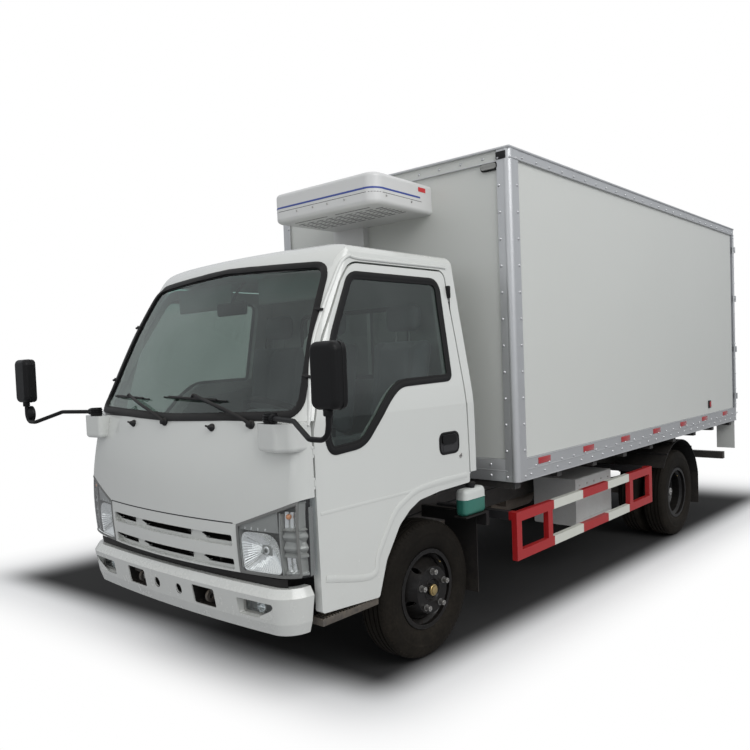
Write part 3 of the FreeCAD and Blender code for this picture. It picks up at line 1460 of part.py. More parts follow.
# Aluminium edges: bottom rails, top angles and rounded corner posts at the front.
outside = "box_half + edge_wall"
edge_parts = []
for sign in (1, -1):
    edge_parts.append(block(side(sign, "box_half", outside), ("box_front", box_back),
        ("bottom_rail_bottom", "bottom_rail_top")))
    edge_parts.append(block(side(sign, "box_half", outside), ("box_front", box_back),
        ("box_top - edge_height", "box_top")))
post_low, post_high = mm.bottom_rail_bottom, mm.box_top
corner_x, corner_front = mm.box_half + mm.edge_wall, mm.box_front - mm.edge_wall
post = rounded_face([
    Vector(corner_x, corner_front, post_low), Vector(corner_x - mm.post_flange, corner_front, post_low),
    Vector(corner_x - mm.post_flange, mm.box_front, post_low), Vector(mm.box_half, mm.box_front, post_low),
], [mm.edge_wall / 2, 0, 0, 0])
post = post.extrude(Vector(0, 0, post_high - post_low))
keep("box_edge_trim", group(edge_parts + [shaped(post), shaped(mirrored(post))]))

# Rear doors: a leaf with an inner plug, hinge straps and two locking rods.
HINGE_SHARES = [0.06, 0.34, 0.64, 0.93]
ROD_BLOCK_SHARES = [0.03, 0.35, 0.65, 0.95]
axis_x, axis_y = "box_half + hinge_out", f"{box_back} + hinge_back"
door_height = "(box_top - rear_head_height - floor_top)"
for sign, name in ((1, "left"), (-1, "right")):
    leaf = join([
        block(side(sign, "leaf_gap", f"{opening_half} - leaf_gap"), (f"{box_back} - leaf_wall", box_back),
              ("floor_top + leaf_gap", "box_top - rear_head_height - leaf_gap")),
        block(side(sign, "leaf_gap + plug_inset", f"{inside} - plug_inset"),
            (f"{box_back} - leaf_wall - plug_depth", f"{box_back} - leaf_wall"),
              ("floor_top + plug_inset", "box_top - rear_head_height - plug_inset")),
    ])
    keep(f"rear_door_{name}", leaf)
    gear = []
    bores = []
    for share in HINGE_SHARES:
        middle = f"floor_top + {share} * {door_height}"
        heights = (f"{middle} - hinge_half + hinge_lug", f"{middle} + hinge_half - hinge_lug")
        gear.append(block(side(sign, "box_half - strap_length", f"{opening_half} - leaf_gap"), (box_back,
            f"{box_back} + strap_off + strap_wall"), heights))
        gear.append(block(side(sign, f"{opening_half} - leaf_gap", axis_x), (f"{box_back} + strap_off",
            f"{box_back} + strap_off + strap_wall"), heights))
        low, high = side(sign, axis_x, axis_x)
        gear.append(rod("z", "hinge_knuckle", low, axis_y, heights[0], f"{heights[1]} - ({heights[0]})"))
        bores.append(rod("z", "hinge_pin + hinge_clearance", low, axis_y, heights[0],
            f"{heights[1]} - ({heights[0]})"))
    rod_pieces = []
    for place_x in ("rod_inner", "rod_outer"):
        low, high = side(sign, place_x, place_x)
        rod_pieces.append(rod("z", "rod_radius", low, f"{box_back} + rod_off", "rod_bottom",
            "rod_top - rod_bottom"))
        for share in ROD_BLOCK_SHARES:
            middle = f"floor_top + {share} * {door_height}"
            rod_pieces.append(block(
                side(sign, f"{place_x} - rod_block", f"{place_x} + rod_block"), (box_back,
                    f"{box_back} + rod_off"),
                (f"{middle} - rod_block", f"{middle} + rod_block")))
        rod_pieces.append(block(
            side(sign, place_x, f"{place_x} + handle_half"), (f"{box_back} + rod_off - handle_half / 2",
                f"{box_back} + rod_off + handle_half / 2"),
            ("handle_z - handle_half", "handle_z + handle_half")))
    keep(f"rear_door_gear_{name}",
        group([cut(join(gear), bores)] + [join(rod_pieces[:6]), join(rod_pieces[6:])]))
frame_lugs = []
for sign in (1, -1):
    for share in HINGE_SHARES:
        middle = f"floor_top + {share} * {door_height}"
        low, high = side(sign, axis_x, axis_x)
        inner = f"{middle} - hinge_half + hinge_lug - yoke_gap"
        upper = f"{middle} + hinge_half - hinge_lug + yoke_gap"
        pieces = [rod("z", "hinge_pin", low, axis_y, f"{middle} - hinge_half", "2 * hinge_half")]
        for span_z in ((f"{middle} - hinge_half", inner), (upper, f"{middle} + hinge_half")):
            pieces.append(rod("z", "hinge_knuckle", low, axis_y, span_z[0], f"{span_z[1]} - ({span_z[0]})"))
            pieces.append(block(side(sign, "box_half - hinge_half", axis_x), (box_back, axis_y), span_z))
        frame_lugs += pieces
keep("box_rear_frame", join([rear_frame] + frame_lugs))

# Cooling unit on the front wall, the pipe cover under it and the coil housing inside.
plan = [
    Vector(mm.fridge_rear_half, mm.box_front, 0), Vector(mm.fridge_front_half, mm.fridge_front, 0),
    Vector(-mm.fridge_front_half, mm.fridge_front, 0), Vector(-mm.fridge_rear_half, mm.box_front, 0),
]
unit = rounded_face(plan, [0, mm.fridge_round, mm.fridge_round, 0])
unit.translate(Vector(0, 0, mm.fridge_bottom))
unit = unit.extrude(Vector(0, 0, mm.fridge_top - mm.fridge_bottom))
level = [edge for edge in unit.Edges
         if edge.BoundBox.ZLength < mm.overrun / 1000 and edge.CenterOfMass.y < mm.box_front - 1]
unit = unit.makeFillet(mm.fridge_edge, level)
keep("fridge_unit", shaped(unit))
keep("pipe_cover", block(("-cover_out", "-cover_in"), ("box_front - cover_depth", "box_front"),
    ("cover_bottom", "fridge_bottom")))
keep("coil_housing", block(("-coil_half", "coil_half"),
    ("box_front + wall", "box_front + wall + coil_depth"), ("box_top - wall - coil_height", "box_top - wall")))

# Wheels: pressed rims with hub and brake drum, and tyres seated on them.


def tyre_points(middle):
    """A tyre's section about a middle plane, open towards the rim."""
    half = "(bead_half_width - spindle_clearance)"
    line = [
        (f"{half} - tyre_wall", "bead_radius"), (half, "bead_radius"),
            (half, "bead_radius + rim_lip + seat_gap"),
        ("tyre_half_width", "side_bulge_radius"),
            ("tyre_half_width - shoulder_in", "wheel_radius - shoulder_drop"),
        ("tread_half_width", "wheel_radius"),
    ]
    line += [(f"-({x})", radius) for x, radius in line[::-1]]
    line += [
        ("tyre_wall - tread_half_width", "wheel_radius - tyre_wall"),
            ("tread_half_width - tyre_wall", "wheel_radius - tyre_wall"),
    ]
    return [(f"{middle} + ({x})", radius) for x, radius in line]


seat_radius = "bead_radius - spindle_clearance"
well = f"{seat_radius} - rim_well"


def rim_top(middle):
    """The side of a rim that faces its tyre, from the inner lip to the outer one."""
    near = [
        ("bead_half_width + rim_lip_width", "bead_radius + rim_lip"),
            ("bead_half_width", "bead_radius + rim_lip"),
        ("bead_half_width", seat_radius), ("bead_half_width - rim_well_slope", seat_radius),
        ("bead_half_width - 2 * rim_well_slope", well),
    ]
    line = [(f"-({x})", radius) for x, radius in near] + near[::-1]
    return [(f"{middle} + {x}", radius) for x, radius in line]


def rim_under(middle, sign):
    """The underside of one half of a rim, from the lip towards the well."""
    line = [
        ("bead_half_width + rim_lip_width", f"{seat_radius} - rim_wall"),
        ("bead_half_width - rim_well_slope", f"{seat_radius} - rim_wall"),
        ("bead_half_width - 2 * rim_well_slope", f"{well} - rim_wall"),
    ]
    return [(f"{middle} + {sign} * ({x})", radius) for x, radius in line]


bore = "spindle_radius + spindle_clearance"
disc_back = "front_disc_face - disc_wall"
front_rim = rim_top("0") + rim_under("0", 1) + [
    ("front_disc_root", f"{well} - rim_wall"),
    ("front_disc_face", "disc_flat_radius"),
    ("front_disc_face", "hub_radius"),
    ("front_disc_face - hub_recess", "hub_radius - rim_wall"),
    ("front_disc_face - hub_recess", "hub_cap_radius"),
    ("front_cap_reach", "hub_cap_radius"),
    ("front_cap_reach", "0"),
    ("spindle_reach + spindle_end_gap", "0"),
    ("spindle_reach + spindle_end_gap", bore),
    ("front_drum_face", bore),
    ("front_drum_face", "drum_radius - drum_wall"),
    ("-front_drum_inner", "drum_radius - drum_wall"),
    ("-front_drum_inner", "drum_radius"),
    ("front_drum_face + drum_wall", "drum_radius"),
    ("front_drum_face + drum_wall", "hub_radius"),
    (disc_back, "hub_radius"),
    (disc_back, "disc_flat_radius - disc_wall / 2"),
    ("front_disc_root - disc_wall", f"{well} - rim_wall"),
] + rim_under("0", -1)[::-1]
pitch = "twin_half_pitch"
spindle_end = "rear_spindle_x - rear_wheel_x + spindle_end_gap"
rear_rim = rim_top(f"-{pitch}") + rim_under(f"-{pitch}", 1)[:2] + [
    (f"bead_half_width - rim_well_slope - disc_wall - {pitch}", f"{well} - rim_wall + disc_wall / 2"),
    ("0", "disc_flat_radius"),
    (f"{pitch} - bead_half_width + rim_well_slope + disc_wall", f"{well} - rim_wall + disc_wall / 2"),
] + rim_under(pitch, -1)[:2][::-1] + rim_top(pitch) + rim_under(pitch, 1) + [
    (f"{pitch} - bead_half_width + 2 * rim_well_slope + disc_wall", f"{well} - rim_wall"),
    ("disc_wall", "disc_flat_radius"),
    ("disc_wall", "hub_radius"),
    ("rear_hub_reach - hub_shoulder", "hub_radius - rim_wall"),
    ("rear_hub_reach - hub_shoulder", "hub_cap_radius"),
    ("rear_hub_reach", "hub_cap_radius"),
    ("rear_hub_reach", "0"),
    (spindle_end, "0"),
    (spindle_end, bore),
    ("-rear_hub_inner", bore),
    ("-rear_hub_inner", "hub_radius"),
    ("-disc_wall - drum_wall", "hub_radius"),
    ("-disc_wall - drum_wall", "drum_radius - drum_wall"),
    ("-rear_drum_inner", "drum_radius - drum_wall"),
    ("-rear_drum_inner", "drum_radius"),
    ("-3 * disc_wall", "drum_radius"),
    (f"bead_half_width - 2 * rim_well_slope - disc_wall - {pitch}", f"{well} - rim_wall"),
] + rim_under(f"-{pitch}", -1)[::-1]
HAND_HOLES = 5
HOLE_STEP = 360 / HAND_HOLES
HOLE_TURNS = [HOLE_STEP / 2 + turn * HOLE_STEP for turn in range(HAND_HOLES)]


def hand_holes(sign, x_low, x_high, y):
    """Round bars along X where a wheel's disc has its hand holes, between the nuts."""
    bars = []
    for turn in HOLE_TURNS:
        across = round(math.sin(math.radians(turn)), 4)
        rise = round(math.cos(math.radians(turn)), 4)
        bars.append(rod(
            "x", "hand_hole_radius", side(sign, x_low, x_high)[0], f"{y} + {across} * hand_hole_pitch",
            f"wheel_radius + {rise} * hand_hole_pitch", f"({x_high}) - ({x_low})"))
    return bars


for sign, name in ((1, "left"), (-1, "right")):
    front_x = side(sign, "front_wheel_x", "front_wheel_x")[0]
    rear_x = side(sign, "rear_wheel_x", "rear_wheel_x")[0]
    for node, outline, centre_x, centre_y in (
        (f"front_rim_{name}", front_rim, front_x, "0"),
        (f"rear_rims_{name}", rear_rim, rear_x, "wheelbase"),
        (f"front_tyre_{name}", tyre_points("0"), front_x, "0"),
    ):
        turned = [(f"{sign} * ({x})", radius) for x, radius in outline]
        turned_piece = place(lathe(turned), centre_x, centre_y, "wheel_radius")
        if outline is front_rim:
            low, high = "front_wheel_x + front_drum_face + drum_wall", "front_wheel_x + front_disc_face"
            turned_piece = cut(turned_piece, hand_holes(sign, low, high, "0"))
        keep(node, turned_piece)
    twins = [
        place(lathe(tyre_points(f"{middle} * {pitch}")), rear_x, "wheelbase",
            "wheel_radius") for middle in (1, -1)
    ]
    keep(f"rear_tyres_{name}", group(twins))

doc.recompute()
for item in doc.Objects:
    faults = [state for state in item.State if state in ("Invalid", "Error")]
    if faults:
        raise RuntimeError(f"{item.Label}: {faults}")
os.makedirs("parts", exist_ok=True)
for node, piece in kept:
    if piece.Shape.isNull() or not piece.Shape.isValid():
        raise RuntimeError(f"{node} has no valid shape")
    piece.Shape.exportStep(f"parts/{node}.step")
    print(node, len(piece.Shape.Solids), round(piece.Shape.Volume / 1e6, 2))
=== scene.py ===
# %% [markdown]
# A light refrigerated truck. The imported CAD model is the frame: it gives every place in metres,
# and each piece made here rides on one of its bodies, so doors, wheels and cab still move.
# Front is -Y, the truck's left is +X and Z is up.

# %% load the frame
import bpy
import bmesh
import json
import math
from mathutils import Matrix, Vector
from mathutils.bvhtree import BVHTree


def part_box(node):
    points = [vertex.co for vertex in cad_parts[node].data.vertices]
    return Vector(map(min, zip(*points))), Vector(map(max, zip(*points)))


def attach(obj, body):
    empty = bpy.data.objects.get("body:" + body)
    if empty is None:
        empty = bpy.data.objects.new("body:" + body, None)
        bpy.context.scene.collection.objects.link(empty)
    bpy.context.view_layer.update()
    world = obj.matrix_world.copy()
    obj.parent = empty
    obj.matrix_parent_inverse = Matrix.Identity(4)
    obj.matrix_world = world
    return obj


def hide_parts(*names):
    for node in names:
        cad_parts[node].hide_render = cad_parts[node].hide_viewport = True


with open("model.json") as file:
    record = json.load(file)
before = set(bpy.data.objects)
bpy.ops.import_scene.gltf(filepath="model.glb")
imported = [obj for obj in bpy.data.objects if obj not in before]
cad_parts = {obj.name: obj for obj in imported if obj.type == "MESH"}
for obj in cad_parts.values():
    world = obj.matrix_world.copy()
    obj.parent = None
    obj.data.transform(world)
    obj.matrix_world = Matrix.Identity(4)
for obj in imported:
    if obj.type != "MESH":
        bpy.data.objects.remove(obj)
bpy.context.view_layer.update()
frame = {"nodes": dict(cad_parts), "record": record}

nodes = frame["nodes"]
scene = bpy.context.scene

# %% [markdown]
# The camera comes from straight edges and known points in the photograph: the box's rails, the
# cab's shut lines, the wheels and the grille slots. Nothing in the scene's shapes depends on it.
# Places are measured from the middle of the front axle, in millimetres, as the CAD model does;
# at() turns one into the frame's metres.

# %% camera
AXLE_Y = (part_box("front_axle")[0][1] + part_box("front_axle")[1][1]) / 2


def at(x, y, z):
    """A place in millimetres from the front axle, on the ground, as a place in the frame."""
    return Vector((x / 1000, y / 1000 + AXLE_Y, z / 1000))


def placed(name, data):
    """A new object in the scene."""
    obj = bpy.data.objects.new(name, data)
    scene.collection.objects.link(obj)
    return obj


# The fitted camera: where it stands, its directions to the right and up, its lens and shift.
CAMERA_PLACE = (3315, -3086, 1656)
CAMERA_RIGHT = (0.774731657, 0.631301060, -0.0353529699)
CAMERA_UP = (0.000225675, 0.0556364862, 0.998451066)
SENSOR_WIDTH, LENS, SHIFT_X, SHIFT_Y, CLIP_END = 36, 35.07, -0.0667, 0.02, 200
camera = placed("camera", bpy.data.cameras.new("camera"))
scene.camera = camera
right, up = Vector(CAMERA_RIGHT), Vector(CAMERA_UP)
back = right.cross(up).normalized()
up = back.cross(right)
camera.matrix_world = Matrix.Translation(at(*CAMERA_PLACE)) @ Matrix((right, up, back)).transposed().to_4x4()
camera.data.sensor_width, camera.data.lens, camera.data.clip_end = SENSOR_WIDTH, LENS, CLIP_END
camera.data.shift_x, camera.data.shift_y = SHIFT_X, SHIFT_Y
scene.view_settings.view_transform = "Standard"
print("camera at", [round(v, 3) for v in camera.location])

# %% [markdown]
# An overcast yard: a pale sky, darker below the horizon so that white paint keeps its form, a
# wide soft lamp high at the truck's left and a weak one ahead of it. The camera itself sees plain
# white. The floor has a soft shadow painted under the truck, takes the real shadows there too, and
# is white further out.

# %% light and floor


def add(tree, kind, **values):
    """A new node with its settings and its unlinked input values."""
    node = tree.nodes.new(kind)
    for name, value in values.items():
        if hasattr(node, name):
            setattr(node, name, value)
        else:
            node.inputs[name.replace("_", " ")].default_value = value
    return node


def ramp(tree, source, stops):
    """A colour ramp over a value."""
    node = tree.nodes.new("ShaderNodeValToRGB")
    tree.links.new(source, node.inputs[0])
    elements = node.color_ramp.elements
    for index, (place, tone) in enumerate(stops):
        element = elements[index] if index < 2 else elements.new(place)
        element.position = place
        element.color = (*tone, 1)
    return node.outputs[0]


def maths(tree, operation, first, second=None, clamp=False):
    """One step of arithmetic on sockets or numbers."""
    node = add(tree, "ShaderNodeMath", operation=operation, use_clamp=clamp)
    for source, index in ((first, 0), (second, 1)):
        if isinstance(source, bpy.types.NodeSocket):
            tree.links.new(source, node.inputs[index])
        elif source is not None:
            node.inputs[index].default_value = source
    return node.outputs[0]


def mixed(tree, factor, first, second):
    """A mix of two shaders."""
    mix = tree.nodes.new("ShaderNodeMixShader")
    for index, source in enumerate((factor, first, second)):
        tree.links.new(source, mix.inputs[index])
    return mix.outputs[0]


def axes(tree, vector):
    """The X, Y and Z of a direction or place in a shader."""
    split = tree.nodes.new("ShaderNodeSeparateXYZ")
    tree.links.new(vector, split.inputs[0])
    return split.outputs


def own_place(tree):
    """Object coordinates."""
    return tree.nodes.new("ShaderNodeTexCoord").outputs["Object"]


def ray_kind(tree, kind):
    """1 for rays of one kind, 0 for others."""
    return tree.nodes.new("ShaderNodeLightPath").outputs[f"Is {kind} Ray"]


def emptied(owner):
    """The node tree of a world or material, emptied."""
    owner.use_nodes = True
    owner.node_tree.nodes.clear()
    return owner.node_tree


# Sky tones by height, 0 straight down and 1 straight up; the ramp's two ends come first.
SKY_TONES = [
    (0.0, (0.40, 0.40, 0.40)), (1.0, (1.0, 1.0, 1.0)), (0.47, (0.30, 0.31, 0.32)), (0.52, (0.50, 0.52, 0.54)),
    (0.60, (0.82, 0.84, 0.87)), (0.80, (0.92, 0.94, 0.97))]
SKY_STRENGTH = 0.75
WHITE = (1, 1, 1, 1)
world = bpy.data.worlds.new("sky")
scene.world = world
tree = emptied(world)
height = add(tree, "ShaderNodeMapRange", From_Min=-1.0, From_Max=1.0)
direction = tree.nodes.new("ShaderNodeTexCoord").outputs["Generated"]
tree.links.new(axes(tree, direction)["Z"], height.inputs["Value"])
sky = add(tree, "ShaderNodeBackground", Strength=SKY_STRENGTH)
tree.links.new(ramp(tree, height.outputs[0], SKY_TONES), sky.inputs["Color"])
plain = add(tree, "ShaderNodeBackground", Color=WHITE, Strength=1.0)
seen = mixed(tree, ray_kind(tree, "Camera"), sky.outputs[0], plain.outputs[0])
tree.links.new(seen, tree.nodes.new("ShaderNodeOutputWorld").inputs[0])


def lamp(name, place, target, width, depth, power):
    """A rectangular soft lamp that faces a place."""
    data = bpy.data.lights.new(name, "AREA")
    data.shape = "RECTANGLE"
    data.size = width
    data.size_y = depth
    data.energy = power
    light = placed(name, data)
    light.location = place
    light.rotation_euler = (Vector(target) - Vector(place)).to_track_quat("-Z", "Y").to_euler()


lamp("key", (9.0, -3.5, 8.0), (0.3, -0.6, 1.0), 8, 6, 540)
lamp("front_fill", (1.0, -11.0, 4.0), (0.0, -2.5, 1.2), 7, 4, 50)


# Where the painted shade's sides, front and back lie in metres, and over what width each fades.
PAINTED_SHADE_EDGES = {"X": ((-3.05, 0.9), (0.95, 0.34)), "Y": ((-0.55 + AXLE_Y, 0.34), (5.7 + AXLE_Y, 1.4))}
GROUND_MARGIN = 0.3
# Floor tones from outside the painted shade to its darkest middle.
PAINTED_SHADE_TONES = [(0.0, (0.92, 0.92, 0.92)), (1.0, (0.05, 0.05, 0.05))]
FLOOR_REACH, FLOOR_DROP = 40, 0.001


def painted_shade_area(tree, place, margin):
    """1 inside the painted shade's rectangle grown by a margin, 0 beyond its soft edge; its sides lean a little."""
    inside = None
    for axis, lean in (("X", (1.0, -0.04, 0.0)), ("Y", (-0.05, 1.0, 0.0))):
        (low, low_soft), (high, high_soft) = PAINTED_SHADE_EDGES[axis]
        dot = add(tree, "ShaderNodeVectorMath", operation="DOT_PRODUCT")
        tree.links.new(place, dot.inputs[0])
        dot.inputs[1].default_value = lean
        low_soft, high_soft = low_soft + margin, high_soft + margin
        for middle, soft, first in ((low - margin, low_soft, 0.0), (high + margin, high_soft, 1.0)):
            edge = add(tree, "ShaderNodeMapRange", interpolation_type="SMOOTHSTEP", From_Min=middle - soft / 2,
                       From_Max=middle + soft / 2, To_Min=first, To_Max=1.0 - first)
            tree.links.new(dot.outputs["Value"], edge.inputs["Value"])
            edge = edge.outputs[0]
            inside = edge if inside is None else maths(tree, "MULTIPLY", inside, edge)
    return inside


def floor_material():
    """Pale ground with the photograph's soft shade painted under the truck, pure white to the camera further out."""
    material = bpy.data.materials.new("floor")
    tree = emptied(material)
    place = own_place(tree)
    diffuse = tree.nodes.new("ShaderNodeBsdfDiffuse")
    # The ground's colour darkens inside the rectangle: a painted shadow under the truck.
    tree.links.new(ramp(tree, painted_shade_area(tree, place, 0.0), PAINTED_SHADE_TONES), diffuse.inputs["Color"])
    white = add(tree, "ShaderNodeEmission", Color=WHITE, Strength=1.0)
    grey = add(tree, "ShaderNodeBsdfDiffuse", Color=(0.42, 0.42, 0.43, 1))
    seen = mixed(tree, painted_shade_area(tree, place, GROUND_MARGIN), white.outputs[0], diffuse.outputs[0])
    both = mixed(tree, ray_kind(tree, "Camera"), grey.outputs[0], seen)
    tree.links.new(both, tree.nodes.new("ShaderNodeOutputMaterial").inputs[0])
    return material


mesh = bpy.data.meshes.new("floor")
corners = [(FLOOR_REACH * x, FLOOR_REACH * y, 0) for x, y in ((-1, -1), (1, -1), (1, 1), (-1, 1))]
mesh.from_pydata(corners, [], [(0, 1, 2, 3)])
mesh.materials.append(floor_material())
floor = placed("floor", mesh)
floor.location.z = -FLOOR_DROP
print("lights", len(bpy.data.lights))

# %% [markdown]
# Effects that many finishes share are shader node groups. Grain gives a fine uneven surface, dust
# settles on what is low or faces up, and wear lightens convex edges where paint is rubbed through.
# They only work out a colour, a roughness and a normal: each material keeps its own shader.

# %% shared effects


def shader_group(name, inputs, outputs):
    """An empty shader node group with its sockets; gives the tree and its two end nodes."""
    tree = bpy.data.node_groups.new(name, "ShaderNodeTree")
    for label, kind, value in inputs:
        socket = tree.interface.new_socket(name=label, in_out="INPUT", socket_type=kind)
        if value is not None:
            socket.default_value = value
    for label, kind in outputs:
        tree.interface.new_socket(name=label, in_out="OUTPUT", socket_type=kind)
    return tree, tree.nodes.new("NodeGroupInput"), tree.nodes.new("NodeGroupOutput")


def blend_colours(tree, factor, first, second):
    """A mix of two colours; each may be a socket or a plain tone."""
    mix = tree.nodes.new("ShaderNodeMix")
    mix.data_type = "RGBA"
    for source, index in ((factor, 0), (first, 6), (second, 7)):
        if isinstance(source, bpy.types.NodeSocket):
            tree.links.new(source, mix.inputs[index])
        else:
            mix.inputs[index].default_value = source
    return mix.outputs[2]


def noise(tree, scale, detail=3.0, vector=None, roughness=0.55):
    """Noise over Object coordinates."""
    node = add(tree, "ShaderNodeTexNoise", Detail=detail, Roughness=roughness)
    if isinstance(scale, bpy.types.NodeSocket):
        tree.links.new(scale, node.inputs["Scale"])
    else:
        node.inputs["Scale"].default_value = scale
    tree.links.new(own_place(tree) if vector is None else vector, node.inputs["Vector"])
    return node.outputs["Fac"]


DUST_TONE = (0.33, 0.27, 0.20, 1)
grain, source, sink = shader_group(
    "grain", [("Scale", "NodeSocketFloat", 300.0), ("Strength", "NodeSocketFloat", 0.1)],
    [("Normal", "NodeSocketVector")])
bump = add(grain, "ShaderNodeBump", Distance=0.001)
grain.links.new(noise(grain, source.outputs["Scale"]), bump.inputs["Height"])
grain.links.new(source.outputs["Strength"], bump.inputs["Strength"])
grain.links.new(bump.outputs[0], sink.inputs["Normal"])

dust, source, sink = shader_group(
    "dust",
    [("Color", "NodeSocketColor", WHITE), ("Amount", "NodeSocketFloat", 0.3), ("Reach", "NodeSocketFloat", 0.8)],
    [("Color", "NodeSocketColor"), ("Factor", "NodeSocketFloat")])
height = axes(dust, own_place(dust))["Z"]
low = maths(dust, "SUBTRACT", 1.0, maths(dust, "DIVIDE", height, source.outputs["Reach"]), clamp=True)
facing = axes(dust, dust.nodes.new("ShaderNodeNewGeometry").outputs["Normal"])["Z"]
lying = maths(dust, "MULTIPLY", maths(dust, "MAXIMUM", facing, 0.0), 0.5)
patches = maths(dust, "MULTIPLY", noise(dust, 9.0, 6.0), noise(dust, 60.0, 4.0))
amount = maths(dust, "MULTIPLY", maths(dust, "ADD", low, lying), maths(dust, "MULTIPLY", patches, 3.2))
factor = maths(dust, "MULTIPLY", amount, source.outputs["Amount"], clamp=True)
dust.links.new(blend_colours(dust, factor, source.outputs["Color"], DUST_TONE), sink.inputs["Color"])
dust.links.new(factor, sink.inputs["Factor"])

wear, source, sink = shader_group(
    "wear",
    [("Color", "NodeSocketColor", WHITE), ("Bare", "NodeSocketColor", (0.5, 0.5, 0.5, 1)),
     ("Amount", "NodeSocketFloat", 0.5), ("Width", "NodeSocketFloat", 0.004)],
    [("Color", "NodeSocketColor"), ("Factor", "NodeSocketFloat")])
round_off = add(wear, "ShaderNodeBevel", samples=4)
wear.links.new(source.outputs["Width"], round_off.inputs["Radius"])
sharp = wear.nodes.new("ShaderNodeNewGeometry")
apart = add(wear, "ShaderNodeVectorMath", operation="DOT_PRODUCT")
wear.links.new(round_off.outputs[0], apart.inputs[0])
wear.links.new(sharp.outputs["Normal"], apart.inputs[1])
edge = maths(wear, "MULTIPLY", maths(wear, "SUBTRACT", 1.0, apart.outputs["Value"]), 5.0, clamp=True)
scratch = maths(wear, "GREATER_THAN", noise(wear, 70.0, 6.0, roughness=0.7), 0.5)
factor = maths(wear, "MULTIPLY", maths(wear, "MULTIPLY", edge, scratch), source.outputs["Amount"], clamp=True)
wear.links.new(blend_colours(wear, factor, source.outputs["Color"], source.outputs["Bare"]),
               sink.inputs["Color"])
wear.links.new(factor, sink.inputs["Factor"])
print("groups", sorted(tree.name for tree in bpy.data.node_groups))

# %% [markdown]
# Finishes. One function lays the shared effects over a base tone: slow shade changes in the
# paint, grain, rubbed edges, then dust. Each finish has its own numbers, taken from how that
# surface looks in the photograph or, where it is hidden, from what such a surface is.

# %% finishes


M = {}


def use(tree, group, **values):
    """A group node in a material, with its unlinked input values or links."""
    node = tree.nodes.new("ShaderNodeGroup")
    node.node_tree = group
    for name, value in values.items():
        if isinstance(value, bpy.types.NodeSocket):
            tree.links.new(value, node.inputs[name])
        else:
            node.inputs[name].default_value = value
    return node


def finish(name, tone, roughness, metallic=0.0, coat=0.0, drift=0.03, drift_scale=2.0, grain_scale=400.0,
           grain_strength=0.08, dust_amount=0.0, dust_reach=0.8, wear_amount=0.0, bare=(0.55, 0.55, 0.56),
           wear_width=0.004, rough_drift=0.12, brushed=None, paint=None, **principled):
    """A material in M: base tone with slow drift, grain, worn edges and dust, on a Principled shader."""
    material = bpy.data.materials.new(name)
    material.use_nodes = True
    tree = material.node_tree
    shader = tree.nodes["Principled BSDF"]
    dark = tuple(value * (1 - 2 * drift) for value in tone) + (1,)
    light = tuple(min(1.0, value * (1 + drift)) for value in tone) + (1,)
    colour = blend_colours(tree, noise(tree, drift_scale, 4.0), dark, light)
    if paint:
        colour = paint(tree, colour)
    if wear_amount:
        worn = use(tree, wear, Color=colour, Bare=(*bare, 1), Amount=wear_amount, Width=wear_width)
        colour = worn.outputs["Color"]
    uneven = maths(tree, "MULTIPLY", noise(tree, 14.0, 5.0), rough_drift)
    rough = maths(tree, "ADD", roughness - rough_drift / 2, uneven)
    if dust_amount:
        dusty = use(tree, dust, Color=colour, Amount=dust_amount, Reach=dust_reach)
        colour = dusty.outputs["Color"]
        rough = maths(tree, "ADD", rough, maths(tree, "MULTIPLY", dusty.outputs["Factor"], 0.6), clamp=True)
    tree.links.new(colour, shader.inputs["Base Color"])
    tree.links.new(rough, shader.inputs["Roughness"])
    shader.inputs["Metallic"].default_value = metallic
    shader.inputs["Coat Weight"].default_value = coat
    shader.inputs["Coat Roughness"].default_value = 0.06
    for label, value in principled.items():
        shader.inputs[label.replace("_", " ")].default_value = value
    if brushed:
        stretch = add(tree, "ShaderNodeMapping", vector_type="POINT")
        stretch.inputs["Scale"].default_value = brushed
        tree.links.new(own_place(tree), stretch.inputs["Vector"])
        bump = add(tree, "ShaderNodeBump", Distance=0.0005, Strength=grain_strength)
        tree.links.new(noise(tree, 40.0, 4.0, stretch.outputs[0]), bump.inputs["Height"])
        tree.links.new(bump.outputs[0], shader.inputs["Normal"])
    else:
        rough_skin = use(tree, grain, Scale=grain_scale, Strength=grain_strength)
        tree.links.new(rough_skin.outputs["Normal"], shader.inputs["Normal"])
    M[name] = material


# The guard rails are red with white lengths between, in millimetres behind the front axle.
WHITE_LENGTHS = ((1035, 1437), (1828, 2195))
GUARD_WHITE, GUARD_INSIDE = (0.66, 0.67, 0.60, 1), (0.02, 0.02, 0.022, 1)
# The windscreen's upper band is tinted green.
SHADE_BAND = (0.30, 0.52, 0.46, 1)


def guard_stripes(tree, colour):
    """Red at both ends and in the middle, white between, and dark on the brackets inside."""
    place = axes(tree, own_place(tree))
    for start, stop in WHITE_LENGTHS:
        low = maths(tree, "GREATER_THAN", place["Y"], at(0, start, 0).y)
        high = maths(tree, "LESS_THAN", place["Y"], at(0, stop, 0).y)
        colour = blend_colours(tree, maths(tree, "MULTIPLY", low, high), colour, GUARD_WHITE)
    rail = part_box("side_guards")[1][0] - 0.06
    inner = maths(tree, "LESS_THAN", maths(tree, "ABSOLUTE", place["X"]), rail)
    return blend_colours(tree, inner, colour, GUARD_INSIDE)


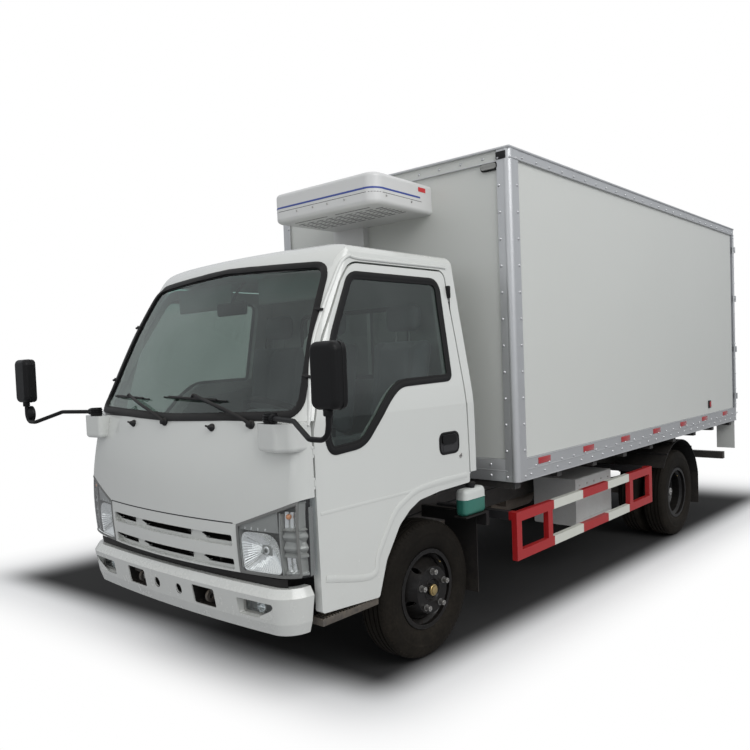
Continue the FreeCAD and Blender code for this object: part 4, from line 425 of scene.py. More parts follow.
def glass(name, tone, alpha_tint, roughness=0.02, haze=0.05, band=(9.0, 9.1)):
    """Thin glass in M: see-through with a tint, a mirror at flat angles, clear for the light's way in."""
    material = bpy.data.materials.new(name)
    tree = emptied(material)
    clear = tree.nodes.new("ShaderNodeBsdfTransparent")
    shape = tree.nodes.new("ShaderNodeNewGeometry")
    high = add(tree, "ShaderNodeMapRange", From_Min=band[0], From_Max=band[1])
    tree.links.new(axes(tree, own_place(tree))["Z"], high.inputs["Value"])
    facing = axes(tree, shape.outputs["Normal"])["Y"]
    ahead = maths(tree, "GREATER_THAN", maths(tree, "ABSOLUTE", facing), 0.3)
    shade = maths(tree, "MULTIPLY", high.outputs[0], ahead)
    tree.links.new(blend_colours(tree, shade, (*alpha_tint, 1), SHADE_BAND), clear.inputs["Color"])
    gloss = add(tree, "ShaderNodeBsdfGlossy", Color=(*tone, 1), Roughness=roughness)
    bend = add(tree, "ShaderNodeFresnel", IOR=1.5)
    film = maths(tree, "ADD", bend.outputs[0], maths(tree, "MULTIPLY", noise(tree, 3.0, 5.0), haze))
    film = maths(tree, "MULTIPLY", film, maths(tree, "SUBTRACT", 1.0, shape.outputs["Backfacing"]))
    open_way = add(tree, "ShaderNodeBsdfTransparent", Color=(0.97, 0.98, 0.97, 1))
    pane = mixed(tree, film, clear.outputs[0], gloss.outputs[0])
    through = mixed(tree, ray_kind(tree, "Shadow"), pane, open_way.outputs[0])
    tree.links.new(through, tree.nodes.new("ShaderNodeOutputMaterial").inputs[0])
    M[name] = material


finish("white_paint", (0.655, 0.668, 0.64), 0.24, coat=0.7, drift=0.012, grain_scale=900, grain_strength=0.02,
       dust_amount=0.10, dust_reach=1.1, rough_drift=0.06)
finish("white_panel", (0.62, 0.632, 0.60), 0.34, coat=0.15, drift=0.015, drift_scale=1.2, grain_scale=120,
       grain_strength=0.05, dust_amount=0.05, rough_drift=0.08)
finish("unit_white", (0.68, 0.68, 0.67), 0.32, coat=0.25, drift=0.01, grain_scale=600, grain_strength=0.04,
       rough_drift=0.06)
finish("frame_paint", (0.022, 0.023, 0.025), 0.48, drift=0.2, dust_amount=0.2, dust_reach=1.3,
       wear_amount=0.25, grain_strength=0.15)
finish("engine_metal", (0.10, 0.10, 0.105), 0.62, metallic=0.7, drift=0.15, dust_amount=0.6, dust_reach=1.4,
       grain_scale=180, grain_strength=0.5)
finish("axle_iron", (0.035, 0.035, 0.037), 0.6, drift=0.2, dust_amount=0.7, grain_scale=220,
       grain_strength=0.4, wear_amount=0.3)
finish("tank_metal", (0.03, 0.03, 0.033), 0.42, coat=0.2, drift=0.1, dust_amount=0.5, wear_amount=0.2)
finish("silver_metal", (0.60, 0.61, 0.60), 0.40, metallic=0.25, drift=0.05, grain_strength=0.25,
       brushed=(1.0, 0.15, 12.0), dust_amount=0.3, dust_reach=1.0)
finish("exhaust_steel", (0.26, 0.22, 0.19), 0.55, metallic=0.8, drift=0.3, drift_scale=6.0, grain_scale=150,
       grain_strength=0.4, dust_amount=0.5)
finish("black_plastic", (0.010, 0.010, 0.011), 0.55, drift=0.1, grain_scale=700, grain_strength=0.3,
       dust_amount=0.10, dust_reach=0.9, Specular_IOR_Level=0.3)
finish("mirror_plastic", (0.007, 0.007, 0.0075), 0.42, drift=0.1, grain_scale=900, grain_strength=0.22,
       Specular_IOR_Level=0.2)
finish("rubber", (0.008, 0.008, 0.0085), 0.55, drift=0.1, grain_scale=500, grain_strength=0.2,
       dust_amount=0.05, Specular_IOR_Level=0.25)
finish("reservoir_plastic", (0.78, 0.81, 0.78), 0.42, drift=0.04, grain_strength=0.1, Transmission_Weight=0.35,
       dust_amount=0.2, dust_reach=1.2)
finish("guard_paint", (0.40, 0.006, 0.009), 0.40, coat=0.15, drift=0.05, dust_amount=0.06, wear_amount=0.12,
       paint=guard_stripes)
finish("rail_aluminium", (0.60, 0.61, 0.62), 0.42, metallic=0.75, drift=0.05, grain_strength=0.18,
       brushed=(1.0, 0.1, 1.0), dust_amount=0.12, dust_reach=1.4)
finish("steel", (0.55, 0.56, 0.57), 0.34, metallic=0.9, drift=0.06, grain_strength=0.2,
       brushed=(1.0, 1.0, 0.12), dust_amount=0.08)
finish("seat_fabric", (0.16, 0.17, 0.19), 0.8, drift=0.12, grain_scale=900, grain_strength=0.6,
       Sheen_Weight=0.3)
finish("interior_plastic", (0.27, 0.27, 0.28), 0.62, drift=0.06, grain_scale=800, grain_strength=0.4)
finish("floor_mat", (0.035, 0.035, 0.037), 0.75, drift=0.15, grain_scale=300, grain_strength=0.5)
finish("rim_paint", (0.006, 0.006, 0.0065), 0.34, coat=0.12, drift=0.12, dust_amount=0.03, dust_reach=0.9,
       wear_amount=0.10, Specular_IOR_Level=0.2)
finish("tyre", (0.0085, 0.0075, 0.0062), 0.72, drift=0.25, drift_scale=8.0, grain_scale=260,
       grain_strength=0.35, dust_amount=0.04, dust_reach=1.0, Specular_IOR_Level=0.1)
finish("floor_metal", (0.5, 0.51, 0.52), 0.45, metallic=0.8, drift=0.06, grain_strength=0.25,
       brushed=(12.0, 0.2, 1.0))
finish("coil_plastic", (0.74, 0.75, 0.76), 0.4, drift=0.03, grain_strength=0.1)
glass("cab_glass", (0.80, 0.85, 0.83), (0.55, 0.60, 0.58), haze=0.10, band=(1.96, 2.12))
glass("lamp_lens", (1, 1, 1), (0.93, 0.95, 0.96))
finish("tail_lens", (0.55, 0.03, 0.02), 0.12, coat=0.8, drift=0.08, grain_scale=60, grain_strength=0.2)
slots = {part["node"]: part["material_slot"] for part in frame["record"]["subparts"]}
slots["rear_lamp_panels"] = "white_paint"
slots["fridge_unit"] = slots["pipe_cover"] = "unit_white"
for name, node in nodes.items():
    node.data.materials.clear()
    slot = slots[name]
    node.data.materials.append(M.get("frame_paint" if slot == "spring_steel" else slot))
print("finishes", len(M))

# %% [markdown]
# The tools that shape the pieces. Each adds a simple form to a mesh in the making: a box with
# rounded edges, a rod, a tube along a line, a turned ring, a flat plate. piece() closes the mesh,
# gives it its finishes and lets it ride on a body of the frame.

# %% shaping tools


def add_box(bm, low, high, slot=0, rounding=0.0, steps=2):
    """A box between two corners in metres, its edges rounded."""
    low, high = Vector(low), Vector(high)
    made = bmesh.ops.create_cube(bm, size=1.0)["verts"]
    size = Vector([abs(b - a) for a, b in zip(low, high)])
    middle = (low + high) / 2
    for vert in made:
        vert.co = Vector([part * extent for part, extent in zip(vert.co, size)]) + middle
    faces = list({face for vert in made for face in vert.link_faces})
    for face in faces:
        face.material_index = slot
    if rounding:
        edges = list({edge for vert in made for edge in vert.link_edges})
        result = bmesh.ops.bevel(
            bm, geom=edges, offset=min(rounding, min(size) * 0.49), segments=steps, affect="EDGES", profile=0.5)
        for face in result["faces"]:
            face.material_index = slot


def add_skin(bm, rows, slot=0, closed=False):
    """Faces between rows of corners; closed joins the end of each row to its start."""
    for near, far in zip(rows, rows[1:]):
        for step in range(len(near) if closed else len(near) - 1):
            after = (step + 1) % len(near)
            bm.faces.new((near[step], near[after], far[after], far[step])).material_index = slot


def frame_of(direction):
    """Two directions square to a given one."""
    direction = Vector(direction).normalized()
    helper = Vector((0, 0, 1)) if abs(direction.z) < 0.9 else Vector((1, 0, 0))
    first = direction.cross(helper).normalized()
    return first, direction.cross(first).normalized()


def add_ring(bm, centre, axis, profile, slot=0, sides=32):
    """A form turned about an axis: profile gives places along the axis and radii."""
    centre, axis = Vector(centre), Vector(axis).normalized()
    first, second = frame_of(axis)
    rings = []
    for index in range(sides):
        turn = math.tau * index / sides
        outward = first * math.cos(turn) + second * math.sin(turn)
        places = [centre + axis * along + outward * max(radius, 1e-5) for along, radius in profile]
        rings.append([bm.verts.new(place) for place in places])
    add_skin(bm, rings + rings[:1], slot)


def add_rod(bm, start, end, radius, slot=0, sides=14, tip=None, edge=0.0):
    """A round bar between two places, with a small chamfer; tip gives it another end radius."""
    start, end = Vector(start), Vector(end)
    length = (end - start).length
    far = radius if tip is None else tip
    profile = [(0, 0), (0, radius - edge), (edge, radius), (length - edge, far), (length, far - edge), (length, 0)]
    add_ring(bm, start, end - start, profile, slot, sides)


def add_tube(bm, points, radius, slot=0, sides=8, closed=False, flat=1.0, up=None):
    """A tube along a line of places; flat squeezes it along the direction named up."""
    points = [Vector(point) for point in points]
    count = len(points)
    rings = []
    side = None
    for index, point in enumerate(points):
        if closed:
            tangent = points[(index + 1) % count] - points[index - 1]
        else:
            tangent = points[min(index + 1, count - 1)] - points[max(index - 1, 0)]
        tangent = tangent.normalized()
        if up is not None:
            lift = up[index] if isinstance(up, list) else Vector(up)
            side = tangent.cross(lift).normalized()
        elif side is None:
            side = frame_of(tangent)[0]
        else:
            side = (side - tangent * side.dot(tangent)).normalized()
        lift = side.cross(tangent).normalized()
        rings.append([
            bm.verts.new(point + side * (radius * math.cos(turn)) + lift * (radius * flat * math.sin(turn)))
            for turn in [math.tau * (step + 0.5) / sides for step in range(sides)]])
    add_skin(bm, rings + rings[:1] if closed else rings, slot, True)
    if not closed:
        bm.faces.new(rings[0]).material_index = slot
        bm.faces.new(rings[-1]).material_index = slot


def add_plate(bm, outline, thickness, slot=0):
    """A flat plate: an outline in space carried along a thickness."""
    thickness = Vector(thickness)
    near = [bm.verts.new(Vector(point)) for point in outline]
    far = [bm.verts.new(Vector(point) + thickness) for point in outline]
    bm.faces.new(near).material_index = slot
    bm.faces.new(far[::-1]).material_index = slot
    add_skin(bm, [near, far], slot, True)


def smooth_line(points, steps=6):
    """A smooth line through places."""
    points = [Vector(point) for point in points]
    ends = [points[0] * 2 - points[1]] + points + [points[-1] * 2 - points[-2]]
    line = []
    for index in range(1, len(ends) - 2):
        a, b, c, d = ends[index - 1:index + 3]
        for step in range(steps):
            t = step / steps
            square, cube = (2 * a - 5 * b + 4 * c - d) * t * t, (3 * b - a - 3 * c + d) * t ** 3
            line.append(0.5 * (2 * b + (c - a) * t + square + cube))
    return line + [points[-1]]


def add_ridge(bm, found, lift, radius, sides, flat):
    """A tube over places found on a surface, each with the way the surface faces."""
    ups = [up for place, up in found]
    add_tube(bm, [place + up * lift for place, up in found], radius, 0, sides, flat=flat, up=ups)


def add_blocks(bm, sign, blocks):
    """Boxes by their corners in millimetres, mirrored by sign, each with its slot, rounding and steps."""
    for low, high, *looks in blocks:
        add_box(bm, at(sign * low[0], *low[1:]), at(sign * high[0], *high[1:]), *looks)


def upright(line, y):
    """A flat outline in millimetres stood up across the truck at a place in metres."""
    return [Vector((point.x / 1000, y, point.y / 1000)) for point in line]


def piece(name, body, bm, finishes, replaced=(), smooth=38):
    """Close a mesh into a named piece that rides on a body."""
    bmesh.ops.recalc_face_normals(bm, faces=bm.faces)
    mesh = bpy.data.meshes.new(name)
    bm.to_mesh(mesh)
    bm.free()
    for label in finishes:
        mesh.materials.append(M[label])
    for polygon in mesh.polygons:
        polygon.use_smooth = smooth > 0
    if smooth:
        mesh.set_sharp_from_angle(angle=math.radians(smooth))
    obj = placed(name, mesh)
    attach(obj, body)
    if replaced:
        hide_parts(*replaced)


trees = {}


def tree_of(node):
    """A search tree over a CAD piece's surface."""
    if node not in trees:
        obj = nodes[node]
        places = [obj.matrix_world @ vert.co for vert in obj.data.vertices]
        trees[node] = BVHTree.FromPolygons(places, [tuple(face.vertices) for face in obj.data.polygons])
    return trees[node]


def touch(start, direction, *names):
    """Where a line first meets the named CAD pieces, and which way their surface faces there."""
    best = None
    for node in names:
        place, normal, index, distance = tree_of(node).ray_cast(Vector(start), Vector(direction).normalized())
        if place is not None and (best is None or distance < best[2]):
            best = (place, normal, distance)
    if best is None:
        raise RuntimeError(f"nothing at {tuple(start)} of {names}")
    place, normal = best[:2]
    return place, normal if normal.dot(Vector(direction)) < 0 else -normal


SIDES = ((1, "left"), (-1, "right"))
CAB_FRONT = ("cab_front_panel", "cab_windscreen_frame", "cab_glass", "grille", "headlamps", "cab_roof")


def on_front(x, z, names=CAB_FRONT):
    """The cab's front surface at a place seen from the front, in millimetres."""
    return touch(at(x, -3000, z), (0, 1, 0), *names)


def on_side(sign, y, z, names):
    """A side surface at a place seen from that side, in millimetres."""
    return touch(at(sign * 3000, y, z), (-sign, 0, 0), *names)


print("tools ready")

# %% [markdown]
# Rivets, nuts and studs repeat many times, so a geometry-nodes group sets one small turned form on
# every point, turned to the direction stored at that point. Its inputs are the form's sides, base
# and top radius, height and material; the instances are made real at the end.

# %% repeated small forms
studs = bpy.data.node_groups.new("studs", "GeometryNodeTree")
for label, kind, value in (
        ("Geometry", "NodeSocketGeometry", None), ("Sides", "NodeSocketInt", 12),
        ("Base", "NodeSocketFloat", 0.006), ("Top", "NodeSocketFloat", 0.004),
        ("Height", "NodeSocketFloat", 0.003), ("Material", "NodeSocketMaterial", None)):
    socket = studs.interface.new_socket(name=label, in_out="INPUT", socket_type=kind)
    if value is not None:
        socket.default_value = value
studs.interface.new_socket(name="Geometry", in_out="OUTPUT", socket_type="NodeSocketGeometry")
source, sink = studs.nodes.new("NodeGroupInput"), studs.nodes.new("NodeGroupOutput")
form = studs.nodes.new("GeometryNodeMeshCone")
form.inputs["Side Segments"].default_value = 1
for label, kind in (("Vertices", "Sides"), ("Radius Bottom", "Base"), ("Radius Top", "Top"), ("Depth", "Height")):
    studs.links.new(source.outputs[kind], form.inputs[label])
aim = studs.nodes.new("GeometryNodeInputNamedAttribute")
aim.data_type = "FLOAT_VECTOR"
aim.inputs["Name"].default_value = "aim"
turn = studs.nodes.new("FunctionNodeAlignRotationToVector")
turn.axis = "Z"
copies = studs.nodes.new("GeometryNodeInstanceOnPoints")
real = studs.nodes.new("GeometryNodeRealizeInstances")
coat = studs.nodes.new("GeometryNodeSetMaterial")
studs.links.new(aim.outputs[0], turn.inputs["Vector"])
studs.links.new(source.outputs["Geometry"], copies.inputs["Points"])
studs.links.new(form.outputs["Mesh"], copies.inputs["Instance"])
studs.links.new(turn.outputs[0], copies.inputs["Rotation"])
studs.links.new(copies.outputs[0], real.inputs[0])
studs.links.new(real.outputs[0], coat.inputs["Geometry"])
studs.links.new(source.outputs["Material"], coat.inputs["Material"])
studs.links.new(coat.outputs[0], sink.inputs[0])
inputs = {item.name: item.identifier for item in studs.interface.items_tree if item.in_out == "INPUT"}


def worked_out(obj):
    """An object's mesh with its modifiers worked out."""
    bpy.context.view_layer.update()
    return bpy.data.meshes.new_from_object(obj.evaluated_get(bpy.context.evaluated_depsgraph_get()))


def stud_row(name, body, places, finish_name, sides=10, base=0.006, top=0.004, height=0.003):
    """One piece of many like studs: places gives each one's foot and the way it points."""
    mesh = bpy.data.meshes.new(name)
    mesh.from_pydata([place for place, aimed in places], [], [])
    aims = mesh.attributes.new("aim", "FLOAT_VECTOR", "POINT")
    for index, (place, aimed) in enumerate(places):
        aims.data[index].vector = aimed
    points = placed(name + "_points", mesh)
    modifier = points.modifiers.new("studs", "NODES")
    modifier.node_group = studs
    values = {"Sides": sides, "Base": base, "Top": top, "Height": height, "Material": M[finish_name]}
    for label, value in values.items():
        modifier[inputs[label]] = value
    made = worked_out(points)
    bpy.data.objects.remove(points)
    made.name = name
    for polygon in made.polygons:
        polygon.use_smooth = True
    made.set_sharp_from_angle(angle=math.radians(40))
    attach(placed(name, made), body)


print("stud group inputs", sorted(inputs))

# %% [markdown]
# Tyres take over from the plain CAD ones. The section is turned: round shoulders, a bead ring and a
# moulded rib on each side wall, four grooves round the tread as the photograph shows. Small bars
# across the shoulders are set by the stud group, so the tread isn't a bare surface of revolution.

# %% tyres
# Half tracks, the hubs' height, the twin tyres' shift from their middle, and the rear axle's place.
FRONT_TRACK, REAR_TRACK, HUB_Z, TWIN_SHIFT, REAR_Y = 0.680, 0.724, 0.380, 0.115, AXLE_Y + 3.360
TREAD_BARS = 84
# The side wall from bead to shoulder: places along the axle from the tyre's middle, and radii.
SIDE_WALL = [
    (0.060, 0.206), (0.0735, 0.2065), (0.0735, 0.2215), (0.084, 0.227), (0.089, 0.236), (0.0915, 0.240),
    (0.0925, 0.2425), (0.0965, 0.250), (0.1, 0.275), (0.1, 0.292), (0.0985, 0.306), (0.0995, 0.3085),
    (0.0985, 0.312), (0.094, 0.332), (0.0885, 0.348), (0.0835, 0.3585), (0.078, 0.3655), (0.071, 0.3705),
    (0.066, 0.3755)]


def tyre_section(middle):
    """A tyre's section in metres about a middle plane: places along the axle and radii."""
    line = list(SIDE_WALL)
    for place in (0.048, 0.0165):
        line += [(place + across, radius) for across, radius in (
            (0.0055, 0.3775), (0.0045, 0.3685), (-0.0045, 0.3685), (-0.0055, 0.3785))]
    line += [(-x, radius) for x, radius in line[::-1]]
    line += [(-0.056, 0.352), (0.056, 0.352), (0.060, 0.206)]
    return [(middle + x, radius) for x, radius in line]


def tyre(name, body, centre, middles, node):
    """One or two tyres on a wheel, with the small bars across their shoulders."""
    bm = bmesh.new()
    for middle in middles:
        add_ring(bm, centre, (1, 0, 0), tyre_section(middle), 0, TREAD_BARS)
    piece(name, body, bm, ["tyre"], [node], smooth=50)
    bars = []
    for middle in middles:
        for index in range(TREAD_BARS):
            turn = math.tau * (index + 0.5) / TREAD_BARS
            out = Vector((0, math.cos(turn), math.sin(turn)))
            for side in (1, -1):
                lean = Vector((side * 0.72, 0, 0)) + out * 0.7
                bars.append((centre + Vector((middle + side * 0.0742, 0, 0)) + out * 0.3655, lean))
    stud_row(name + "_tread_bars", body, bars, "tyre", sides=4, base=0.0105, top=0.0085, height=0.0045)


for sign, name in SIDES:
    front, rear = Vector((sign * FRONT_TRACK, AXLE_Y, HUB_Z)), Vector((sign * REAR_TRACK, REAR_Y, HUB_Z))
    tyre(f"tyre_front_{name}", f"front_wheel_{name}", front, [0.0], f"front_tyre_{name}")
    tyre(f"tyres_rear_{name}", f"rear_wheel_{name}", rear, [-TWIN_SHIFT, TWIN_SHIFT], f"rear_tyres_{name}")

# %% [markdown]
# On the rims: five wheel nuts with washers and stud ends, a brass grease cap in front, a plain one
# behind, and a valve. Scuffs come from the rim's own finish. At the back the nuts sit deep in the
# dished disc.

# %% wheel nuts and caps
finish("nut_steel", (0.48, 0.47, 0.45), 0.34, metallic=0.85, drift=0.15, grain_scale=300, grain_strength=0.2)
finish("brass", (0.55, 0.42, 0.20), 0.32, metallic=0.9, drift=0.15, grain_scale=300, grain_strength=0.15)
NUTS, NUT_CIRCLE, VALVE_CIRCLE, VALVE_TURN = 5, 0.103, 0.178, math.radians(36)
# Each kind of small form on a nut's place: name, how far out its foot stands, sides, radii, height.
NUT_PARTS = (
    ("washers", 0.0015, 20, 0.0185, 0.0175, 0.004), ("nuts", 0.0125, 6, 0.0165, 0.0155, 0.019),
    ("studs", 0.026, 12, 0.0085, 0.007, 0.012))
# Each axle: half track, place, how far out the disc's face and the valve stand, the cap's foot and form.
AXLES = {
    "front": (FRONT_TRACK, AXLE_Y, 0.115, 0.060, 0.116, "brass", [
        (-0.002, 0.031), (0.010, 0.031), (0.012, 0.0285), (0.012, 0.024), (0.018, 0.022), (0.020, 0.017),
        (0.021, 0)]),
    "rear": (REAR_TRACK, REAR_Y, 0.010, 0.13, 0.130, "nut_steel", [
        (0, 0.034), (0.010, 0.034), (0.013, 0.029), (0.013, 0.012), (0.018, 0.010), (0.019, 0)])}
for sign, side in SIDES:
    out = Vector((sign, 0, 0))
    for axle, (x, y, face, valve_foot, cap_foot, cap_finish, cap_form) in AXLES.items():
        body = f"{axle}_wheel_{side}"
        centre = Vector((sign * x, y, HUB_Z))
        ring = []
        for index in range(NUTS):
            turn = math.tau * index / NUTS
            ring.append(centre + out * face + Vector((0, math.sin(turn), math.cos(turn))) * NUT_CIRCLE)
        for name, reach, sides, base, top, height in NUT_PARTS:
            foot = [(place + out * reach, out) for place in ring]
            stud_row(f"{axle}_{name}_{side}", body, foot, "nut_steel", sides=sides, base=base, top=top,
                     height=height)
        bm = bmesh.new()
        add_ring(bm, centre + out * cap_foot, out, cap_form, 0, 40)
        add_ring(bm, centre + out * (face - 0.002), out, [(0, 0.0655), (0.004, 0.0655), (0.004, 0.061)], 1, 48)
        piece(f"{axle}_grease_cap_{side}", body, bm, [cap_finish, "rim_paint"])
        bm = bmesh.new()
        outward = Vector((0, math.sin(VALVE_TURN), math.cos(VALVE_TURN)))
        foot = centre + out * valve_foot + outward * VALVE_CIRCLE
        lean = out * 0.9 - outward * 0.35
        add_rod(bm, foot, foot + lean * 0.03, 0.005, 0, 10, edge=0.001)
        add_rod(bm, foot + lean * 0.03, foot + lean * 0.045, 0.004, 1, 10, edge=0.001)
        piece(f"{axle}_valve_{side}", body, bm, ["rubber", "brass"])

# %% [markdown]
# Window rubbers. The windscreen and the door glasses sit in black extruded seals, made by a
# flattened tube along the opening's outline, laid on the painted skin. The outlines are those of
# the CAD model: shares of the cab's length and height, with arcs at the corners.

# %% outlines and window rubbers
CAB_FRONT_Y, CAB_LENGTH, CAB_TOP, CAB_HALF = -1136, 1421, 2290, 915
DOOR_SHARES = [
    (0.152, 0.236), (0.145, 0.47), (0.1465, 0.59), (0.243, 0.766), (0.364, 0.891), (0.42, 0.932), (0.938, 0.934),
    (0.955, 0.417), (0.761, 0.414), (0.643, 0.406), (0.586, 0.39), (0.529, 0.363), (0.455, 0.297), (0.413, 0.224)]
WINDOW_SHARES = [
    (0.866, 0.677), (0.885, 0.906), (0.412, 0.905), (0.272, 0.757), (0.205, 0.574), (0.221, 0.548), (0.363, 0.554),
    (0.507, 0.645), (0.573, 0.672)]
WINDOW_REACH = [30, 60, 50, 90, 28, 30, 60, 90, 60]
SCREEN_SHARES = [(0.931, 0.626), (0.795, 0.925), (0.0, 0.939), (-0.795, 0.925), (-0.931, 0.626), (0.0, 0.617)]
SCREEN_REACH = [70, 80, 0, 80, 70, 0]


def outline(points, reaches, step=35.0):
    """A closed flat outline in millimetres, corners rounded, with even steps along its sides."""
    corners = []
    for index, point in enumerate(points):
        point = Vector(point)
        back, ahead = Vector(points[index - 1]) - point, Vector(points[(index + 1) % len(points)]) - point
        reach = min(reaches[index], back.length / 2, ahead.length / 2)
        if not reach:
            corners.append(point)
            continue
        start, stop = point + back.normalized() * reach, point + ahead.normalized() * reach
        for part in range(9):
            share = part / 8
            corners.append(start * (1 - share) ** 2 + point * (2 * share * (1 - share)) + stop * share ** 2)
    line = []
    for index, point in enumerate(corners):
        ahead = corners[(index + 1) % len(corners)]
        count = max(1, int((ahead - point).length / step))
        line += [point.lerp(ahead, part / count) for part in range(count)]
    return line


def grown(line, distance):
    """A closed flat outline moved outward, or inward when the distance is below zero."""
    area = sum(a.x * b.y - b.x * a.y for a, b in zip(line, line[1:] + line[:1]))
    turn = 1 if area > 0 else -1
    out = []
    for index, point in enumerate(line):
        along = (line[(index + 1) % len(line)] - line[index - 1]).normalized()
        out.append(point + Vector((along.y, -along.x)) * (turn * distance))
    return out


def lay(line, where, lift):
    """Places and directions over a surface for a flat outline; where() finds the surface."""
    places, ups = [], []
    for point in line:
        place, normal = where(point.x, point.y)
        places.append(place + normal * lift)
        ups.append(normal)
    return places, ups


def rounded_box(x_low, z_low, x_high, z_high, reach, step=35.0, across=True):
    """A box's closed outline with round corners; across says which way it leaves the first corner."""
    second, last = (x_high, z_low), (x_low, z_high)
    if not across:
        second, last = last, second
    return outline([(x_low, z_low), second, (x_high, z_high), last], [reach] * 4, step)


def add_bead(bm, line, where, lift, radius, sides=8, closed=False, flat=0.3):
    """A flattened tube laid over a surface along a flat outline; gives its places."""
    places, ups = lay(line, where, lift)
    add_tube(bm, places, radius, 0, sides, closed, flat, ups)
    return places


SCREEN_SURROUND = ("cab_windscreen_frame", "cab_roof", "cab_front_panel")
screen_line = outline([(CAB_HALF * x, CAB_TOP * z) for x, z in SCREEN_SHARES], SCREEN_REACH)
window_line = outline([(CAB_FRONT_Y + CAB_LENGTH * y, CAB_TOP * z) for y, z in WINDOW_SHARES], WINDOW_REACH)
bm = bmesh.new()
add_bead(bm, grown(screen_line, 9), lambda x, z: on_front(x, z, SCREEN_SURROUND), 0.001, 0.019, 8, True, 0.32)
add_bead(bm, grown(screen_line, -5), on_front, -0.004, 0.012, 6, True, 0.6)
piece("windscreen_rubber", "cab", bm, ["rubber"], smooth=60)
for sign, side in SIDES:
    bm = bmesh.new()
    door, pane = f"door_{side}", f"door_glass_{side}"
    add_bead(bm, grown(window_line, 8), lambda y, z: on_side(sign, y, z, (door,)), 0.001, 0.0155, 8, True, 0.3)
    add_bead(bm, grown(window_line, -9), lambda y, z: on_side(sign, y, z, (pane, door)), 0.003, 0.010, 6, True,
             0.6)
    piece(f"window_rubber_{side}", door, bm, ["rubber"], smooth=60)
print("rubbers", len(screen_line), len(window_line))

# %% [markdown]
# Doors: the black pull handle in its dish, the lock below it, the crease along the door and the
# raised lip that follows the wheel arch. The handle's dish and the lock's slot are dark with painted
# shade. The arch lip is a flattened bead in the door's own paint, as a press would roll it.

# %% door furniture
door_line = [Vector((CAB_FRONT_Y + CAB_LENGTH * y, CAB_TOP * z)) for y, z in DOOR_SHARES]
# A dark tone for shut lines, slots and recesses: painted shade of the gaps.
finish("gap_and_slot_shade", (0.03, 0.03, 0.032), 0.8, drift=0.1, dust_amount=0.1)
# Corners of the door's outline, each with a shift along the truck and up, for the arch's bead.
ARCH = (
    (0, 26, 150), (13, -48, 118), (12, -56, 44), (11, -44, 58), (10, -26, 58), (9, -8, 56), (8, 0, 50), (7, -30, 46))
LOCK_FORM = [
    (-0.002, 0.0), (-0.002, 0.013), (0.003, 0.013), (0.0045, 0.0115), (0.0045, 0.007), (0.003, 0.006), (0.003, 0)]


def past_door(shifts, steps):
    """A smooth flat line past corners of the door's outline."""
    return smooth_line([door_line[corner] + Vector((along, rise)) for corner, along, rise in shifts], steps)


for sign, side in SIDES:
    door = f"door_{side}"
    out = Vector((sign, 0, 0))
    where = lambda y, z: on_side(sign, y, z, (door,))
    bm = bmesh.new()
    places = add_bead(bm, rounded_box(-40, 1142, 124, 1250, 38, 20), where, 0.0, 0.0075, 8, True, 0.7)
    add_plate(bm, [place - out * 0.001 for place in places], out * 0.003, 1)
    places, ups = lay(rounded_box(-28, 1196, 96, 1240, 16, 20), where, 0.0)
    add_plate(bm, [place + out * 0.002 for place in places], out * 0.011, 0)
    places, ups = lay(rounded_box(-16, 1152, 84, 1186, 14, 20), where, 0.0)
    add_plate(bm, [place + out * 0.001 for place in places], out * 0.0035, 1)
    piece(f"door_handle_{side}", door, bm, ["mirror_plastic", "gap_and_slot_shade"], smooth=50)
    bm = bmesh.new()
    place, normal = where(140, 1116)
    add_ring(bm, place, normal, LOCK_FORM, 0, 28)
    add_box(bm, place + Vector((sign * 0.002, -0.0012, -0.005)),
            place + Vector((sign * 0.0047, 0.0012, 0.005)), 1)
    piece(f"door_lock_{side}", door, bm, ["nut_steel", "gap_and_slot_shade"])
    bm = bmesh.new()
    add_bead(bm, [Vector((y, 985)) for y in range(-908, 206, 40)], where, 0.0, 0.009, flat=0.22)
    add_bead(bm, past_door(ARCH, 7), where, 0.0, 0.017)
    piece(f"door_creases_{side}", door, bm, ["white_paint"], smooth=70)
print("doors dressed")

# %% [markdown]
# The roof's drip rail runs over each door as a folded lip. The front has the seams that tell its
# panels apart: under the windscreen and along the upper edge of grille and lamps, drawn as thin
# dark beads that paint the shade in their gaps.

# %% drip rails and front seams
DRIP_RAIL = ((2, -22, 30), (3, -24, 10), (4, -24, 20), (5, -14, 28), (5, 90, 26), (6, -60, 26), (6, 24, 24))
DRIP_BASE = ("cab_windscreen_frame", "cab_roof", "cab_rear_wall", "cab_front_panel")
bm = bmesh.new()
for sign in (1, -1):
    add_bead(bm, past_door(DRIP_RAIL, 10), lambda y, z: on_side(sign, y, z, DRIP_BASE), 0.002, 0.009, flat=0.75)
piece("drip_rails", "cab", bm, ["white_paint"], smooth=70)
# Thin dark beads along the front's seams: painted shade of their gaps.
bm = bmesh.new()
add_bead(bm, [Vector((x, 1402)) for x in range(-780, 781, 30)], on_front, 0.0, 0.0032, 6)
add_bead(bm, [Vector((x, CAB_TOP * 0.409 + 3)) for x in range(-556, 557, 28)], on_front, 0.0, 0.0032, 6,
         flat=0.35)
piece("front_seam_shadows", "cab", bm, ["gap_and_slot_shade"], smooth=70)
print("seams laid")

# %% [markdown]
# Wipers park low on the glass. Each has a pivot with a cap on the cowl, a flattened arm that arches
# over to its blade, and the blade: a thin lip on the glass with a spine held over it by four short
# posts. Two washer jets stand on the cowl, and clips hold the screen's edges.

